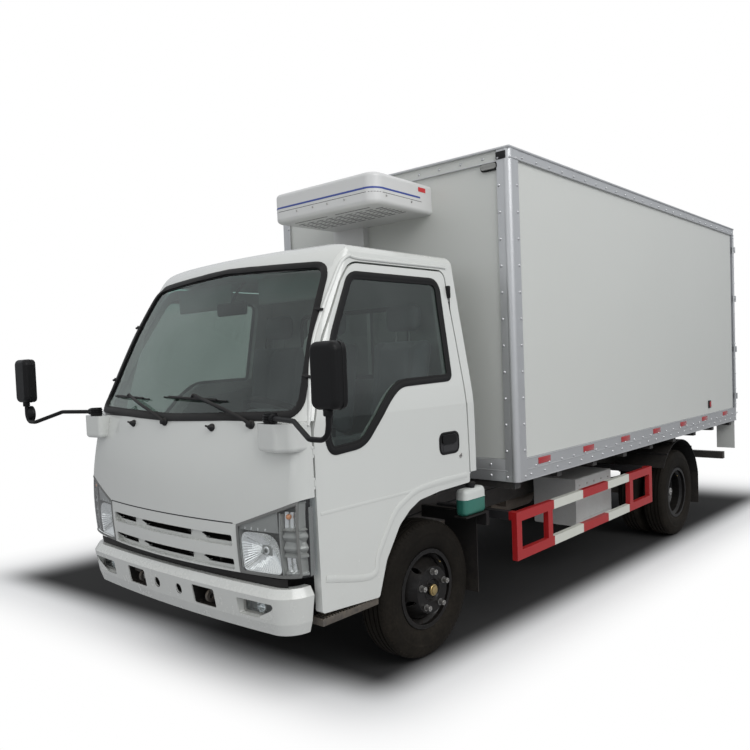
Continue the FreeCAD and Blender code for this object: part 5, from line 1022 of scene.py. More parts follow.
# %% wipers and washer jets
# Each wiper: its pivot across the cab, where the arm meets the blade, and the blade's two ends.
WIPERS = {
    "left": (609, (153, 1508), ((-129, 1501), (393, 1485))),
    "right": (-29, (-512, 1506), ((-740, 1500), (-276, 1489)))}
PIVOT_CAP = [(-0.01, 0.021), (0.008, 0.020), (0.012, 0.016), (0.024, 0.015), (0.027, 0.011), (0.028, 0)]
JET = [(-0.004, 0.019), (0.004, 0.019), (0.010, 0.016), (0.016, 0.011), (0.022, 0.0095), (0.025, 0.006), (0.026, 0)]
for name, (pivot_x, tip, (blade_start, blade_end)) in WIPERS.items():
    bm = bmesh.new()
    foot, normal = on_front(pivot_x, 1384)
    add_ring(bm, foot, normal, PIVOT_CAP, 0, 24)
    head, head_normal = on_front(*tip, ("cab_glass",))
    arm = []
    for share in (0.0, 0.12, 0.3, 0.5, 0.7, 0.85, 1.0):
        place, up = on_front(pivot_x + (tip[0] - pivot_x) * share, 1390 + (tip[1] - 1390) * share)
        arm.append(place + up * (0.022 + 0.022 * math.sin(math.pi * min(1.0, share * 1.1))))
    add_tube(bm, smooth_line(arm, 3), 0.0085, 0, 8, flat=0.55, up=head_normal)
    blade = []
    for index in range(17):
        x, z = (start + (end - start) * index / 16 for start, end in zip(blade_start, blade_end))
        blade.append(on_front(x, z, ("cab_glass",)))
    add_ridge(bm, blade, 0.006, 0.0042, 6, 1.4)
    add_ridge(bm, blade[2:15], 0.019, 0.006, 6, 0.6)
    for place, up in blade[2:15:4]:
        add_rod(bm, place + up * 0.004, place + up * 0.021, 0.0055, 0, 8)
    place, up = blade[8]
    add_rod(bm, place + up * 0.014, arm[-1] + up * 0.004, 0.008, 0, 10)
    piece(f"wiper_{name}", "cab", bm, ["black_plastic"], smooth=40)
bm = bmesh.new()
for x in (352, -352):
    foot, normal = on_front(x, 1366)
    add_ring(bm, foot, normal, JET, 0, 24)
    spout = foot + normal * 0.018 + Vector((-0.024, -0.004, 0.006))
    add_rod(bm, foot + normal * 0.014, spout, 0.006, 0, 10, tip=0.0045)
for x, z in ((789, 1899), (840, 1593)):
    foot, normal = on_front(x, z, ("cab_windscreen_frame", "cab_roof", "cab_glass"))
    for sign in (1, -1):
        base = Vector((sign * foot.x, foot.y, foot.z))
        lean = Vector((sign * normal.x, normal.y, normal.z))
        start, end = Vector((sign * -0.03, 0, 0)), Vector((sign * 0.026, 0.004, -0.004))
        add_rod(bm, base + start + lean * 0.009, base + end + lean * 0.010, 0.007, 0, 10, edge=0.002)
        add_rod(bm, base, base + lean * 0.016, 0.010, 0, 12, edge=0.002)
piece("washer_jets_and_clips", "cab", bm, ["black_plastic"], smooth=40)
print("wipers set")

# %% [markdown]
# Headlamps. Behind the clear cover sits a pale housing that follows the cover's curve. It holds a
# wide fluted bowl with its bulb and a sloping panel with four studs above it. Beside a divider a
# column runs round the corner: a fluted cell with the amber indicator bulb, ridges, and a second
# fluted cell. Flat facets break up the light as pressed reflectors do.

# %% headlamps
finish("chrome", (0.90, 0.90, 0.88), 0.14, metallic=0.8, drift=0.02, grain_scale=90, grain_strength=0.05,
       rough_drift=0.06)
finish("lamp_grey", (0.30, 0.302, 0.285), 0.34, metallic=0.2, drift=0.03, grain_scale=500, grain_strength=0.06)
finish("amber", (0.62, 0.25, 0.10), 0.16, coat=0.5, drift=0.05, grain_scale=120, grain_strength=0.2)
finish("lamp_rim", (0.17, 0.172, 0.165), 0.42, drift=0.04, grain_scale=500, grain_strength=0.1)
glass("bulb", (1, 1, 1), (0.84, 0.85, 0.84))
LAMP_SHARES = [(0.608, 0.311), (0.608, 0.409), (0.891, 0.449), (0.985, 0.463), (0.985, 0.316), (0.877, 0.311)]
lamp_line = outline([(CAB_HALF * x, CAB_TOP * z) for x, z in LAMP_SHARES], [14, 10, 20, 8, 8, 20], 22)


def lamp_top(x):
    """Height of the lamp's upper edge at a place across the cab."""
    first, second = (0.608, 0.409), (0.891, 0.449)
    return CAB_TOP * (first[1] + (x / CAB_HALF - first[0]) * (second[1] - first[1]) / (second[0] - first[0]))


def lamp_skin(sign, x, z, depth=0.0):
    """A place on the lamp's cover from the front, or that far behind it."""
    place, normal = on_front(sign * x, z, ("headlamps",))
    return place - normal * depth


# The column beside the bowl runs round the corner: places across the cab, then along its side.
COLUMN_FRONT = (822, 838, 852, 864, 875, 884, 891)
COLUMN_SIDE = (-1018, -1006, -992, -978)
BOWL_LOW, BOWL_HIGH, BOWL_MIDDLE = (574, 724), (797, 906), (684, 812)
BOWL_CORNERS = [BOWL_LOW, (BOWL_HIGH[0], BOWL_LOW[1]), BOWL_HIGH, (BOWL_LOW[0], BOWL_HIGH[1])]
bowl_line = outline(BOWL_CORNERS, [26, 26, 105, 48], 7)
# The bowl's rings from its middle outward: share of the outline, and depth behind the cover.
BOWL_RINGS = [
    (0.10, 0.057), (0.22, 0.056), (0.36, 0.053), (0.52, 0.047), (0.68, 0.038), (0.84, 0.027), (0.96, 0.016),
    (1.0, 0.012)]
HOUSING_IN, HOUSING_OUT, HOUSING_FOOT, HOUSING_DEPTH = 566, 888, 722, Vector((0, 0.056, 0))
WALL_NEAR, WALL_FAR = Vector((0, 0.006, 0)), Vector((0, 0.058, 0))
LAMP_AIM, CORNER_AIM = Vector((0.10, -1, 0)), Vector((0.5, -0.86, 0))
# Bulbs as turned forms: places along the axis and radii.
MAIN_BULB = [(0, 0.011), (0.024, 0.011), (0.030, 0.009), (0.034, 0.005), (0.035, 0)]
BULB_COLLAR = [(0.0, 0.019), (0.006, 0.019), (0.008, 0.015), (0.008, 0.011)]
SMALL_BULB = [(0, 0.008), (0.010, 0.009), (0.016, 0.007), (0.018, 0)]
AMBER_BULB = [(0, 0.011), (0.008, 0.013), (0.014, 0.011), (0.018, 0.006), (0.019, 0)]


def fluted(z):
    """Whether a height lies in one of the column's two fluted cells."""
    return 936 < z < 1012 or 738 < z < 806


def column_depth(z, step):
    """How far behind the cover the column's reflector lies: fluted cells at both ends, ridges between."""
    if fluted(z):
        return 0.026 + 0.005 * (step % 2)
    if 822 < z < 926:
        return 0.017 + 0.008 * math.cos((z - 822) / 104 * math.tau * 2)
    return 0.009


def add_slats(bm, pairs):
    """Faces between pairs of places, each with corners of its own."""
    for near, far in zip(pairs, pairs[1:]):
        bm.faces.new([bm.verts.new(point) for point in (near[0], near[1], far[1], far[0])])


for sign, side in SIDES:
    bm = bmesh.new()
    rim = [Vector((sign * point.x, point.y)) for point in grown(lamp_line, -7)]
    add_bead(bm, rim, lambda x, z: on_front(x, z, ("headlamps", "cab_front_panel", "grille")), 0.0005, 0.0075,
             6, True, 0.35)
    piece(f"headlamp_rim_{side}", "cab", bm, ["lamp_rim"], smooth=60)
    bm = bmesh.new()
    grid = []
    for index in range(19):
        x = HOUSING_IN + (HOUSING_OUT - HOUSING_IN) * index / 18
        heights = [HOUSING_FOOT + (lamp_top(x) - 12 - HOUSING_FOOT) * step / 12 for step in range(13)]
        grid.append([bm.verts.new(lamp_skin(sign, x, z) + HOUSING_DEPTH) for z in heights])
    add_skin(bm, grid)
    wall = []
    for point in grown(lamp_line, -13):
        if point.x < 892:
            place = lamp_skin(sign, point.x, point.y)
            wall.append((bm.verts.new(place + WALL_NEAR), bm.verts.new(place + WALL_FAR)))
    for near, far in zip(wall, wall[1:]):
        if (near[0].co - far[0].co).length < 0.09:
            add_skin(bm, [near, far])
    places = [lamp_skin(sign, 812, z) for z in (724, 790, 860, 930, 1000)]
    add_slats(bm, [(place + WALL_NEAR, place + WALL_FAR) for place in places])
    cover = []
    for x in range(570, 806, 15):
        foot, head = 912, max(lamp_top(x) - 10, 916)
        cover.append([bm.verts.new(lamp_skin(sign, x, foot + (head - foot) * index / 4, 0.014 - 0.002 * index))
                      for index in range(5)])
    add_skin(bm, cover)
    under = Vector((0, 0.044, 0))
    for near, far in zip(cover, cover[1:]):
        shape = (near[0].co, far[0].co, far[0].co + under, near[0].co + under)
        bm.faces.new([bm.verts.new(point) for point in shape])
    for x in (602, 640, 680, 722):
        front = lamp_skin(sign, x, 922, 0.014)
        add_box(bm, (front.x - 0.003, front.y - 0.005, 0.916), (front.x + 0.003, front.y + 0.004, 0.928), 1,
                0.002, 2)
    add_slats(bm,
              [(lamp_skin(sign, 806, z, 0.004), lamp_skin(sign, 814, z, 0.004)) for z in range(726, 1008, 20)])
    piece(f"headlamp_housing_{side}", "cab", bm, ["lamp_grey", "chrome"], smooth=35)
    bm = bmesh.new()
    rings = []
    for share, depth in BOWL_RINGS:
        ring = []
        for index, point in enumerate(bowl_line):
            flute = 0.0035 * share * (index % 2) if 0.3 < share < 0.97 else 0.0
            x, z = (middle + (edge - middle) * share for middle, edge in zip(BOWL_MIDDLE, point))
            ring.append(bm.verts.new(lamp_skin(sign, x, z, depth + flute)))
        rings.append(ring)
    add_skin(bm, rings, 0, True)
    bm.faces.new(rings[0])
    columns = []
    for step, spot in enumerate(COLUMN_FRONT + COLUMN_SIDE):
        column = []
        for z in range(730, 1018, 8):
            if spot > 0:
                place, normal = on_front(sign * spot, z, ("headlamps",))
            else:
                place, normal = on_side(sign, spot, z, ("headlamps",))
            column.append(bm.verts.new(place - normal * column_depth(z, step)))
        columns.append(column)
    for near, far in zip(columns, columns[1:]):
        for step in range(len(near) - 1):
            slot = 0 if fluted(734 + step * 8) else 1
            bm.faces.new((near[step], near[step + 1], far[step + 1], far[step])).material_index = slot
    bezel = []
    for y in (-974, -966, -958, -950):
        places = [on_side(sign, y, z, ("headlamps",))[0] for z in range(724, 1044, 16)]
        bezel.append([bm.verts.new(place - Vector((sign * 0.006, 0, 0))) for place in places])
    add_skin(bm, bezel, 2)
    piece(f"headlamp_bowls_{side}", "cab", bm, ["chrome", "lamp_grey", "lamp_rim"], smooth=0)
    mirrored = Vector((sign, 1, 1))
    bm = bmesh.new()
    centre = lamp_skin(sign, *BOWL_MIDDLE, 0.056)
    add_ring(bm, centre, LAMP_AIM * mirrored, MAIN_BULB, 0, 20)
    add_ring(bm, centre, LAMP_AIM * mirrored, BULB_COLLAR, 1, 20)
    add_ring(bm, lamp_skin(sign, 850, 772, 0.026), CORNER_AIM * mirrored, SMALL_BULB, 0, 16)
    piece(f"headlamp_bulbs_{side}", "cab", bm, ["bulb", "chrome"])
    bm = bmesh.new()
    add_ring(bm, lamp_skin(sign, 846, 990, 0.026), CORNER_AIM * mirrored, AMBER_BULB, 0, 20)
    piece(f"headlamp_indicator_{side}", "cab", bm, ["amber"], smooth=60)
print("lamps fitted")

# %% [markdown]
# Below the cab: the bumper's clear fog lamps with a bowl and a rim, towing eyes, and painted
# shade: black recesses behind the bumper's openings, a black band in the gap under the grille and
# black liners that give the grille's slots depth. The step gets a serrated tread.

# %% bumper and step details
FRONT = ("front_bumper",)
FOG_IN, FOG_OUT, EYE_X = 556, 770, 300
FOG_BOWL = [(0, 0.008), (0.003, 0.016), (0.012, 0.025), (0.026, 0.030)]
EYE = [(-0.008, 0.016), (-0.008, 0.030), (0.008, 0.030), (0.008, 0.016), (-0.008, 0.016)]


def back_by(distance):
    """A step toward the truck's rear, in metres."""
    return Vector((0, distance, 0))


for sign, side in SIDES:
    face_in, face_out = (on_front(sign * x, 640, FRONT)[0].y + 0.022 for x in (FOG_IN, FOG_OUT))

    def recess(x, depth):
        """How far back a place in the fog lamp's opening lies."""
        return face_in + (face_out - face_in) * (abs(x) - FOG_IN) / (FOG_OUT - FOG_IN) + depth

    def sunk(line, depth):
        """A flat outline laid back into the opening."""
        return [Vector((point.x / 1000, recess(point.x, depth), point.y / 1000)) for point in line]

    frame_line = rounded_box(sign * FOG_IN, 533, sign * FOG_OUT, 598, 14, 30, False)
    bm = bmesh.new()
    back, rim = sunk(frame_line, 0.055), sunk(frame_line, 0.018)
    add_tube(bm, rim, 0.007, 0, 6, closed=True)
    add_plate(bm, back, back_by(0.004), 0)
    near, far = [bm.verts.new(point) for point in rim], [bm.verts.new(point) for point in back]
    add_skin(bm, [near, far], 0, True)
    lips = rounded_box(sign * 545, 524, sign * 781, 607, 14, 30, False)
    edge = [bm.verts.new(on_front(*point, FRONT)[0] + back_by(0.004)) for point in lips]
    add_skin(bm, [near, edge], 2, True)
    centre = Vector((sign * 0.655, recess(655, 0.050), 0.565))
    add_ring(bm, centre, (0, -1, 0), FOG_BOWL, 1, 16)
    add_rod(bm, centre, centre - back_by(0.018), 0.007, 1, 12, edge=0.002)
    piece(f"fog_lamp_shell_{side}", "chassis", bm, ["lamp_grey", "chrome", "white_paint"], smooth=30)
    bm = bmesh.new()
    add_plate(bm, sunk(grown(frame_line, -4), 0.020), back_by(0.004), 0)
    for index in range(9):
        foot, head = sunk([Vector((sign * (568 + index * 24), z)) for z in (540, 592)], 0.024)
        add_rod(bm, foot, head, 0.0022, 0, 6)
    piece(f"fog_lens_{side}", "chassis", bm, ["lamp_lens"])
# The black floor and walls behind the tow openings paint the shade in these recesses.
bm = bmesh.new()
for sign in (1, -1):
    place, normal = on_front(sign * EYE_X, 640, FRONT)
    skin_y = (place.y - AXLE_Y) * 1000
    hole = rounded_box(sign * 211, 516, sign * 389, 616, 12, 40, False)
    floor_line = [at(point.x, skin_y + 84, point.y) for point in hole]
    add_plate(bm, floor_line, back_by(0.003), 0)
    near = [bm.verts.new(on_front(*point, FRONT)[0] + back_by(0.007)) for point in hole]
    add_skin(bm, [near, [bm.verts.new(point) for point in floor_line]], 0, True)
    add_ring(bm, at(sign * EYE_X, skin_y + 48, 556), (1, 0, 0), EYE, 1, 24)
    add_box(bm, at(sign * EYE_X - 8, skin_y + 46, 566), at(sign * EYE_X + 8, skin_y + 84, 604), 1, 0.003)
    place, normal = on_front(sign * 97, 545, FRONT)
    centre = Vector((sign * 0.097, place.y + 0.001, 0.570))
    add_ring(bm, centre, (0, -1, 0), [(0.002, 0.0245), (0.004, 0.0255), (0.0, 0.0285)], 0, 28)
add_box(bm, at(-140, -1098, 530), at(140, -1094, 610), 0, 0.002)
piece("bumper_recess_shade_and_eyes", "chassis", bm, ["black_plastic", "axle_iron"])
# A black band in the gap under the grille: painted shade of the gap.
bm = bmesh.new()
places = [on_front(41 * index - 820, 640, FRONT)[0] for index in range(41)]
band = [Vector((place.x, place.y + 0.040, 0.686)) for place in places]
rows = [[bm.verts.new(point + Vector((0, back, rise))) for point in band]
        for back, rise in ((0.006, -0.028), (0, 0), (0.001, 0.020))]
add_skin(bm, rows)
piece("painted_shade_gap_strip", "chassis", bm, ["black_plastic"], smooth=60)
# Black liners in the grille's slots: painted shade of their depth.
bm = bmesh.new()
for low, high in ((845, 878), (734, 767)):
    for start, end in ((-203, 203), (318, 508), (-508, -318)):
        # The grille's own face is only hit beside a slot, so a place inside takes it from above or below.
        near, far = [], []
        for point in rounded_box(start, low, end, high, 4, 20):
            beside = point.y + (12 if point.y > (low + high) / 2 else -12)
            face = on_front(point.x, beside, ("grille",))[0].y
            for row, depth in ((near, 0.004), (far, 0.060)):
                row.append(bm.verts.new((point.x / 1000, face + depth, point.y / 1000)))
        add_skin(bm, [near, far], 0, True)
        bm.faces.new(far)
piece("grille_slot_shade_liners", "cab", bm, ["black_plastic"], smooth=40)
for sign, side in SIDES:
    teeth = []
    for x in (800, 825, 850, 875):
        for index in range(26):
            teeth.append((at(sign * x, -894 + index * 13.4, 491), Vector((0, 0, 1))))
    stud_row(f"step_teeth_{side}", "cab", teeth, "axle_iron", sides=4, base=0.0075, top=0.002, height=0.007)
    bm = bmesh.new()
    add_blocks(bm, sign, [((893, -902, 474), (899, -543, 506), 0, 0.002, 2),
                          ((780, -905, 474), (899, -899, 506), 0, 0.002, 2)])
    add_blocks(bm, sign, [((891.5, y, 505), (899, y + 8, 510), 0, 0.001, 1)
                          for y in (-894 + index * 17.8 for index in range(20))])
    piece(f"step_edge_{side}", "cab", bm, ["axle_iron"])
print("front below done")

# %% [markdown]
# Mirrors: the glass in its lip on the rear face of each head, a moulded seam round the shell, the
# clamp on the arm, rubber boots at the foot and a small round mirror low on the right side.

# %% mirrors
finish("mirror_glass", (0.80, 0.82, 0.84), 0.04, metallic=1.0, drift=0.01, grain_scale=40, grain_strength=0.01,
       rough_drift=0.02)
# Turned forms of the mirrors: the clamp on the arm, a fold and the end of the boot, the kerb mirror's shell.
MIRROR_CLAMP = [(-0.014, 0.0), (-0.014, 0.017), (-0.010, 0.019), (0.012, 0.019), (0.016, 0.016), (0.016, 0)]
BOOT_FOLD = [(0, 0.030), (0.003, 0.0335), (0.007, 0.0335), (0.010, 0.030)]
BOOT_END = [(0, 0.0), (0, 0.018), (0.006, 0.020), (0.030, 0.018), (0.034, 0.014), (0.034, 0)]
KERB_SHELL = [(-0.026, 0), (-0.024, 0.022), (-0.014, 0.040), (0.0, 0.047), (0.010, 0.047), (0.011, 0.043)]
for sign, side in SIDES:
    bm = bmesh.new()
    face = rounded_box(sign * 1247, 1484, sign * 1379, 1728, 28, 30, False)
    add_tube(bm, [at(point.x, -1177, point.y) for point in face], 0.0055, 0, 6, closed=True, flat=0.8)
    add_tube(bm, [at(point.x, -1196, point.y) for point in grown(face, 5.5)], 0.0022, 0, 6, closed=True)
    add_box(bm, at(sign * 1300, -1214, 1445), at(sign * 1322, -1198, 1486), 0, 0.005)
    add_ring(bm, at(sign * 1310, -1209, 1468), (0, 0, 1), MIRROR_CLAMP, 0, 24)
    for rise in (0, 11, 22):
        add_ring(bm, at(sign * 775, -1052, 1404 + rise), (0, 0, 1), BOOT_FOLD, 0, 28)
    add_ring(bm, at(sign * 790, -1057, 1421), (sign, -0.32, 0), BOOT_END, 0, 20)
    piece(f"mirror_fittings_{side}", "cab", bm, ["mirror_plastic"], smooth=45)
    bm = bmesh.new()
    add_plate(bm, [at(point.x, -1178.5, point.y) for point in grown(face, -3)], Vector((0, 0.0025, 0)), 0)
    piece(f"mirror_glass_{side}", "cab", bm, ["mirror_glass"], smooth=30)
bm = bmesh.new()
centre = at(-1310, -1188, 1408)
add_ring(bm, centre, (0, 1, 0), KERB_SHELL, 0, 32)
add_ring(bm, centre + Vector((0, 0.009, 0)), (0, 1, 0),
         [(0, 0.0435), (0.002, 0.040), (0.0065, 0.02), (0.008, 0)], 1, 32)
add_box(bm, at(-1318, -1215, 1400), at(-1302, -1200, 1424), 0, 0.003)
piece("kerb_mirror", "cab", bm, ["mirror_plastic", "mirror_glass"], smooth=45)
print("mirrors fitted")

# %% [markdown]
# The refrigeration unit over the cab is a two-part plastic cover. A blue stripe runs round it, as
# in the photograph, with a small red rectangle on its left side. The underside has rows of air
# slots and two cut lines and a seam runs round the cover, all drawn dark as painted shade of the
# openings and gaps; screws hold the seam. No name is put where the photo has one.

# %% refrigeration unit
finish("blue_stripe", (0.035, 0.07, 0.33), 0.35, coat=0.3, drift=0.05, grain_scale=500, grain_strength=0.05)
finish("red_mark", (0.62, 0.02, 0.025), 0.35, coat=0.3, drift=0.06, grain_scale=500, grain_strength=0.08)
UNIT = ("fridge_unit",)
unit_low, unit_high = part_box("fridge_unit")
STRIPE_Z, SEAM_Z, SCREW_Z = 2.652, 2.628, 2.612
print("unit box", [round(v, 4) for v in unit_low + unit_high])


def unit_place(angle, z):
    """Where a level line from the unit's middle leaves the cover at an angle from the front."""
    direction = Vector((math.sin(angle), -math.cos(angle), 0))
    middle = Vector((0, unit_high[1] - 0.20, z))
    return touch(middle + direction * 3, -direction, *UNIT)


def around(z, reach, count=110):
    """Places along a level band round the front of the cover, as far as an angle each way."""
    return [unit_place(math.radians(reach * (2 * index / count - 1)), z) for index in range(count + 1)]


bm = bmesh.new()
add_ridge(bm, around(STRIPE_Z, 100), 0.0004, 0.0062, 6, 0.16)
piece("unit_stripe", "chassis", bm, ["blue_stripe"], smooth=70)
# The seam, the cut lines and the air slots below are dark: painted shade of the gaps and openings.
bm = bmesh.new()
add_ridge(bm, around(SEAM_Z, 102), 0.0, 0.0016, 6, 0.4)
cut = Vector((0, unit_low[1] + 0.085, unit_low[2]))
for x_low, x_high in ((-0.33, -0.03), (0.04, 0.33)):
    add_box(bm, cut + Vector((x_low, 0, -0.0015)), cut + Vector((x_high, 0.004, 0.002)), 0)
for row in range(7):
    for column in range(9):
        corner = Vector((-0.360 + column * 0.086, unit_low[1] + 0.14 + row * 0.034, unit_low[2]))
        add_box(bm, corner + Vector((0, 0, -0.001)), corner + Vector((0.060, 0.011, 0.003)), 0, 0.002, 1)
piece("unit_slot_and_seam_shade", "chassis", bm, ["gap_and_slot_shade"], smooth=30)
bm = bmesh.new()
mark = []
for along, z in ((0.300, 2.688), (0.300, 2.715), (0.375, 2.715), (0.375, 2.688)):
    place, normal = touch((3, unit_high[1] - 0.442 + along, z), (-1, 0, 0), *UNIT)
    mark.append(place + normal * 0.0006)
add_plate(bm, mark, Vector((0.0012, 0, 0)), 0)
piece("unit_red_mark", "chassis", bm, ["red_mark"], smooth=30)
screws = []
for angle in (-88, -60, -30, -10, 10, 30, 60, 88):
    place, normal = unit_place(math.radians(angle), SCREW_Z)
    screws.append((place + normal * 0.001, normal))
stud_row("unit_screws", "chassis", screws, "nut_steel", sides=14, base=0.0065, top=0.0045, height=0.004)
print("unit dressed")

# %% [markdown]
# The load box is a riveted shell of smooth panels. Its aluminium corner posts have a round column
# between two flanges; the bottom rail has thin beads and red reflectors; rivets follow the flanges
# at an even pitch, as in the photograph. The front carries an oval marker lamp on each side, and
# each side wall a square one.

# %% box edges
finish("reflector_red", (0.42, 0.015, 0.02), 0.22, coat=0.6, drift=0.1, grain_scale=50, grain_strength=0.3)
RIVET = {"sides": 12, "base": 0.0095, "top": 0.005, "height": 0.007}
# Edges, flanges and beads of each side and of the front: low and high corner, slot, rounding, steps.
SIDE_EDGES = [
    ((1011, 600, 902), (1014, 672, 2868), 0, 0.001, 1), ((925, 571.5, 902), (985, 574.5, 2868), 0, 0.001, 1),
    ((1010, 574, 2806), (1018, 4836, 2814), 0, 0.003, 2), ((990, 566, 2864), (1020, 4838, 2877), 0, 0.004, 2),
    ((1010, 680, 964), (1017, 4836, 970), 0, 0.0025, 2), ((1010, 680, 1031), (1016, 4836, 1036), 0, 0.002, 2),
    ((1010, 680, 902), (1017, 4836, 908), 0, 0.0025, 2), ((1009, 4800, 1036), (1015, 4838, 2808), 0, 0.0015, 1)]
FRONT_EDGES = [
    ((-1000, 566, 2864), (1000, 590, 2877), 0, 0.004, 2), ((-925, 568, 2796), (925, 587, 2802), 0, 0.002, 2),
    ((-942, 574, 902), (942, 587, 1035), 0, 0.002, 2), ((-942, 570, 964), (942, 575, 970), 0, 0.002, 2)]
# Where each red reflector of the bottom rail starts and ends, in millimetres behind the front axle.
REFLECTORS = ((809, 957), (1407, 1564), (2014, 2167), (2623, 2770), (3232, 3372), (3789, 3931), (4400, 4545))
AHEAD = Vector((0, -1, 0))
for sign, side in SIDES:
    out = Vector((sign, 0, 0))
    bm = bmesh.new()
    add_rod(bm, at(sign * 983, 603, 902), at(sign * 983, 603, 2869), 0.0335, 0, 28, edge=0.001)
    add_blocks(bm, sign, SIDE_EDGES)
    piece(f"box_edges_{side}", "chassis", bm, ["rail_aluminium"], smooth=40)
    rivets = []
    for z in range(930, 2815, 157):
        rivets += [(at(sign * 1014.5, 653, z), out), (at(sign * 938, 571, z), AHEAD)]
    for y in range(720, 4796, 163):
        rivets += [(at(sign * 1013, y + shift, z), out) for shift, z in ((0, 2828), (0, 936), (60, 980))]
    rivets += [(at(sign * 1015.5, 4820, z), out) for z in range(1080, 2786, 155)]
    stud_row(f"box_rivets_{side}", "chassis", rivets, "rail_aluminium", **RIVET)
    bm = bmesh.new()
    add_blocks(bm, sign,
               [((1011, start, 983), (1015.5, stop, 1023), 0, 0.002, 2) for start, stop in REFLECTORS])
    piece(f"side_reflectors_{side}", "chassis", bm, ["reflector_red"], smooth=40)
    bm = bmesh.new()
    add_blocks(bm, sign, [((999, 4000, 1088), (1012, 4062, 1160), 0, 0.005, 3),
                          ((1011, 4012, 1098), (1017, 4050, 1150), 1, 0.004, 3)])
    piece(f"side_marker_{side}", "chassis", bm, ["black_plastic", "reflector_red"], smooth=40)
    bm = bmesh.new()
    oval = rounded_box(sign * 812, 2752, sign * 930, 2800, 24, 20)
    add_plate(bm, [at(point.x, 586.5, point.y) for point in oval], AHEAD * 0.012, 0)
    add_tube(bm, [at(point.x, 574, point.y) for point in grown(oval, -2)], 0.004, 0, 6, closed=True)
    add_plate(bm, [at(point.x, 575, point.y) for point in grown(oval, -7)], AHEAD * 0.012, 1)
    add_blocks(bm, sign, [((925, 565, 2806), (992, 572, 2850), 2, 0.003, 2)])
    piece(f"front_marker_{side}", "chassis", bm, ["black_plastic", "lamp_grey", "black_plastic"], smooth=45)
bm = bmesh.new()
add_blocks(bm, 1, FRONT_EDGES)
piece("box_front_edges", "chassis", bm, ["rail_aluminium"], smooth=40)
rivets = []
for x in range(-820, 821, 164):
    rivets += [(at(x, y, z), AHEAD) for y, z in ((585, 2832), (573, 936), (573, 1002))]
stud_row("box_front_rivets", "chassis", rivets, "rail_aluminium", **RIVET)
print("box edges done")

# %% [markdown]
# The back of the box: seals round the two door leaves, round-headed bolts in the hinge straps,
# lock rod guides, two red reflectors on each leaf, and the tail lamps' faces. None of it shows in
# the photograph; it is what such doors have, and what sits on a leaf moves with it.

# %% rear doors
REAR_Y_LAMPS = at(0, 4836, 0).y
HINGE_SHARES, BEHIND = (0.16, 0.84), Vector((0, 1, 0))
for sign, side in SIDES:
    door = f"rear_door_{side}"
    low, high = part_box(door)
    inner, outer = min(abs(low[0]), abs(high[0])), max(abs(low[0]), abs(high[0]))
    back = high[1]
    near_x, far_x = sign * (inner * 1000 + 14), sign * (outer * 1000 - 14)
    seal = rounded_box(near_x, low[2] * 1000 + 14, far_x, high[2] * 1000 - 14, 26, 120)
    bm = bmesh.new()
    add_tube(bm, upright(seal, back + 0.0005), 0.009, 0, 6, closed=True, flat=0.5, up=BEHIND)
    piece(f"rear_seal_{side}", door, bm, ["rubber"], smooth=60)
    tree = tree_of(f"rear_door_gear_{side}")
    bolts = []
    for step in range(4):
        z = low[2] + 0.22 + step * (high[2] - low[2] - 0.44) / 3
        for reach in (0.055, 0.095):
            start = Vector((sign * (outer - reach), back + 0.5, z))
            place = tree.ray_cast(start, -BEHIND)[0]
            if place is not None and place.y > back - 0.002:
                bolts.append((place + BEHIND * 0.001, BEHIND))
    guides = [(sign * (inner + (outer - inner) * share), z) for share in HINGE_SHARES
              for z in (low[2] + 0.16, (low[2] + high[2]) / 2, high[2] - 0.16)]
    for x, z in guides:
        bolts += [(Vector((x + shift, back + 0.0025, z)), BEHIND) for shift in (-0.028, 0.028)]
    stud_row(f"rear_bolts_{side}", door, bolts, "nut_steel", sides=12, base=0.0085, top=0.005, height=0.005)
    bm = bmesh.new()
    for x, z in guides:
        add_box(bm, (x - 0.038, back, z - 0.016), (x + 0.038, back + 0.003, z + 0.016), 0, 0.001, 1)
    x = sign * (inner + 0.3)
    for z in (low[2] + 0.42, high[2] - 0.42):
        add_box(bm, (x - 0.11, back - 0.001, z - 0.024), (x + 0.11, back + 0.004, z + 0.024), 1, 0.002, 2)
    piece(f"rear_guides_{side}", door, bm, ["steel", "reflector_red"], smooth=40)
    bm = bmesh.new()
    for slot, (x_low, x_high) in enumerate(((0.834, 0.90), (0.906, 0.986))):
        add_box(bm, (sign * x_low, REAR_Y_LAMPS + 0.004, 0.684), (sign * x_high, REAR_Y_LAMPS + 0.010, 0.786),
                slot, 0.004, 2)
    piece(f"tail_lamp_faces_{side}", "chassis", bm, ["amber", "reflector_red"], smooth=40)
print("rear done")

# %% [markdown]
# Chassis details: the coolant bottle behind the cab with green liquid in its lower half and a cap,
# straps and a cap on the tank, brake lines, and the seams and bolts of the silver box. They are
# simple moulded or turned forms. The bottle takes the place of the CAD one, with softer edges.

# %% chassis details
low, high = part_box("reservoir")
middle = (Vector(low) + Vector(high)) / 2
print("bottle", [round(v, 3) for v in low + high])
LIQUID, LIQUID_TONE = middle.z + 0.002, (0.03, 0.17, 0.13, 1)
BOTTLE_CAP = [(0, 0), (0, 0.026), (0.010, 0.026), (0.012, 0.030), (0.028, 0.030), (0.032, 0.025), (0.032, 0)]
TANK_CAP = [(-0.004, 0.034), (0.016, 0.034), (0.016, 0.039), (0.034, 0.039), (0.038, 0.034), (0.038, 0)]


def half_full(tree, colour):
    """Green where the bottle's liquid stands, by height."""
    level = maths(tree, "LESS_THAN", axes(tree, own_place(tree))["Z"], LIQUID)
    return blend_colours(tree, level, colour, LIQUID_TONE)


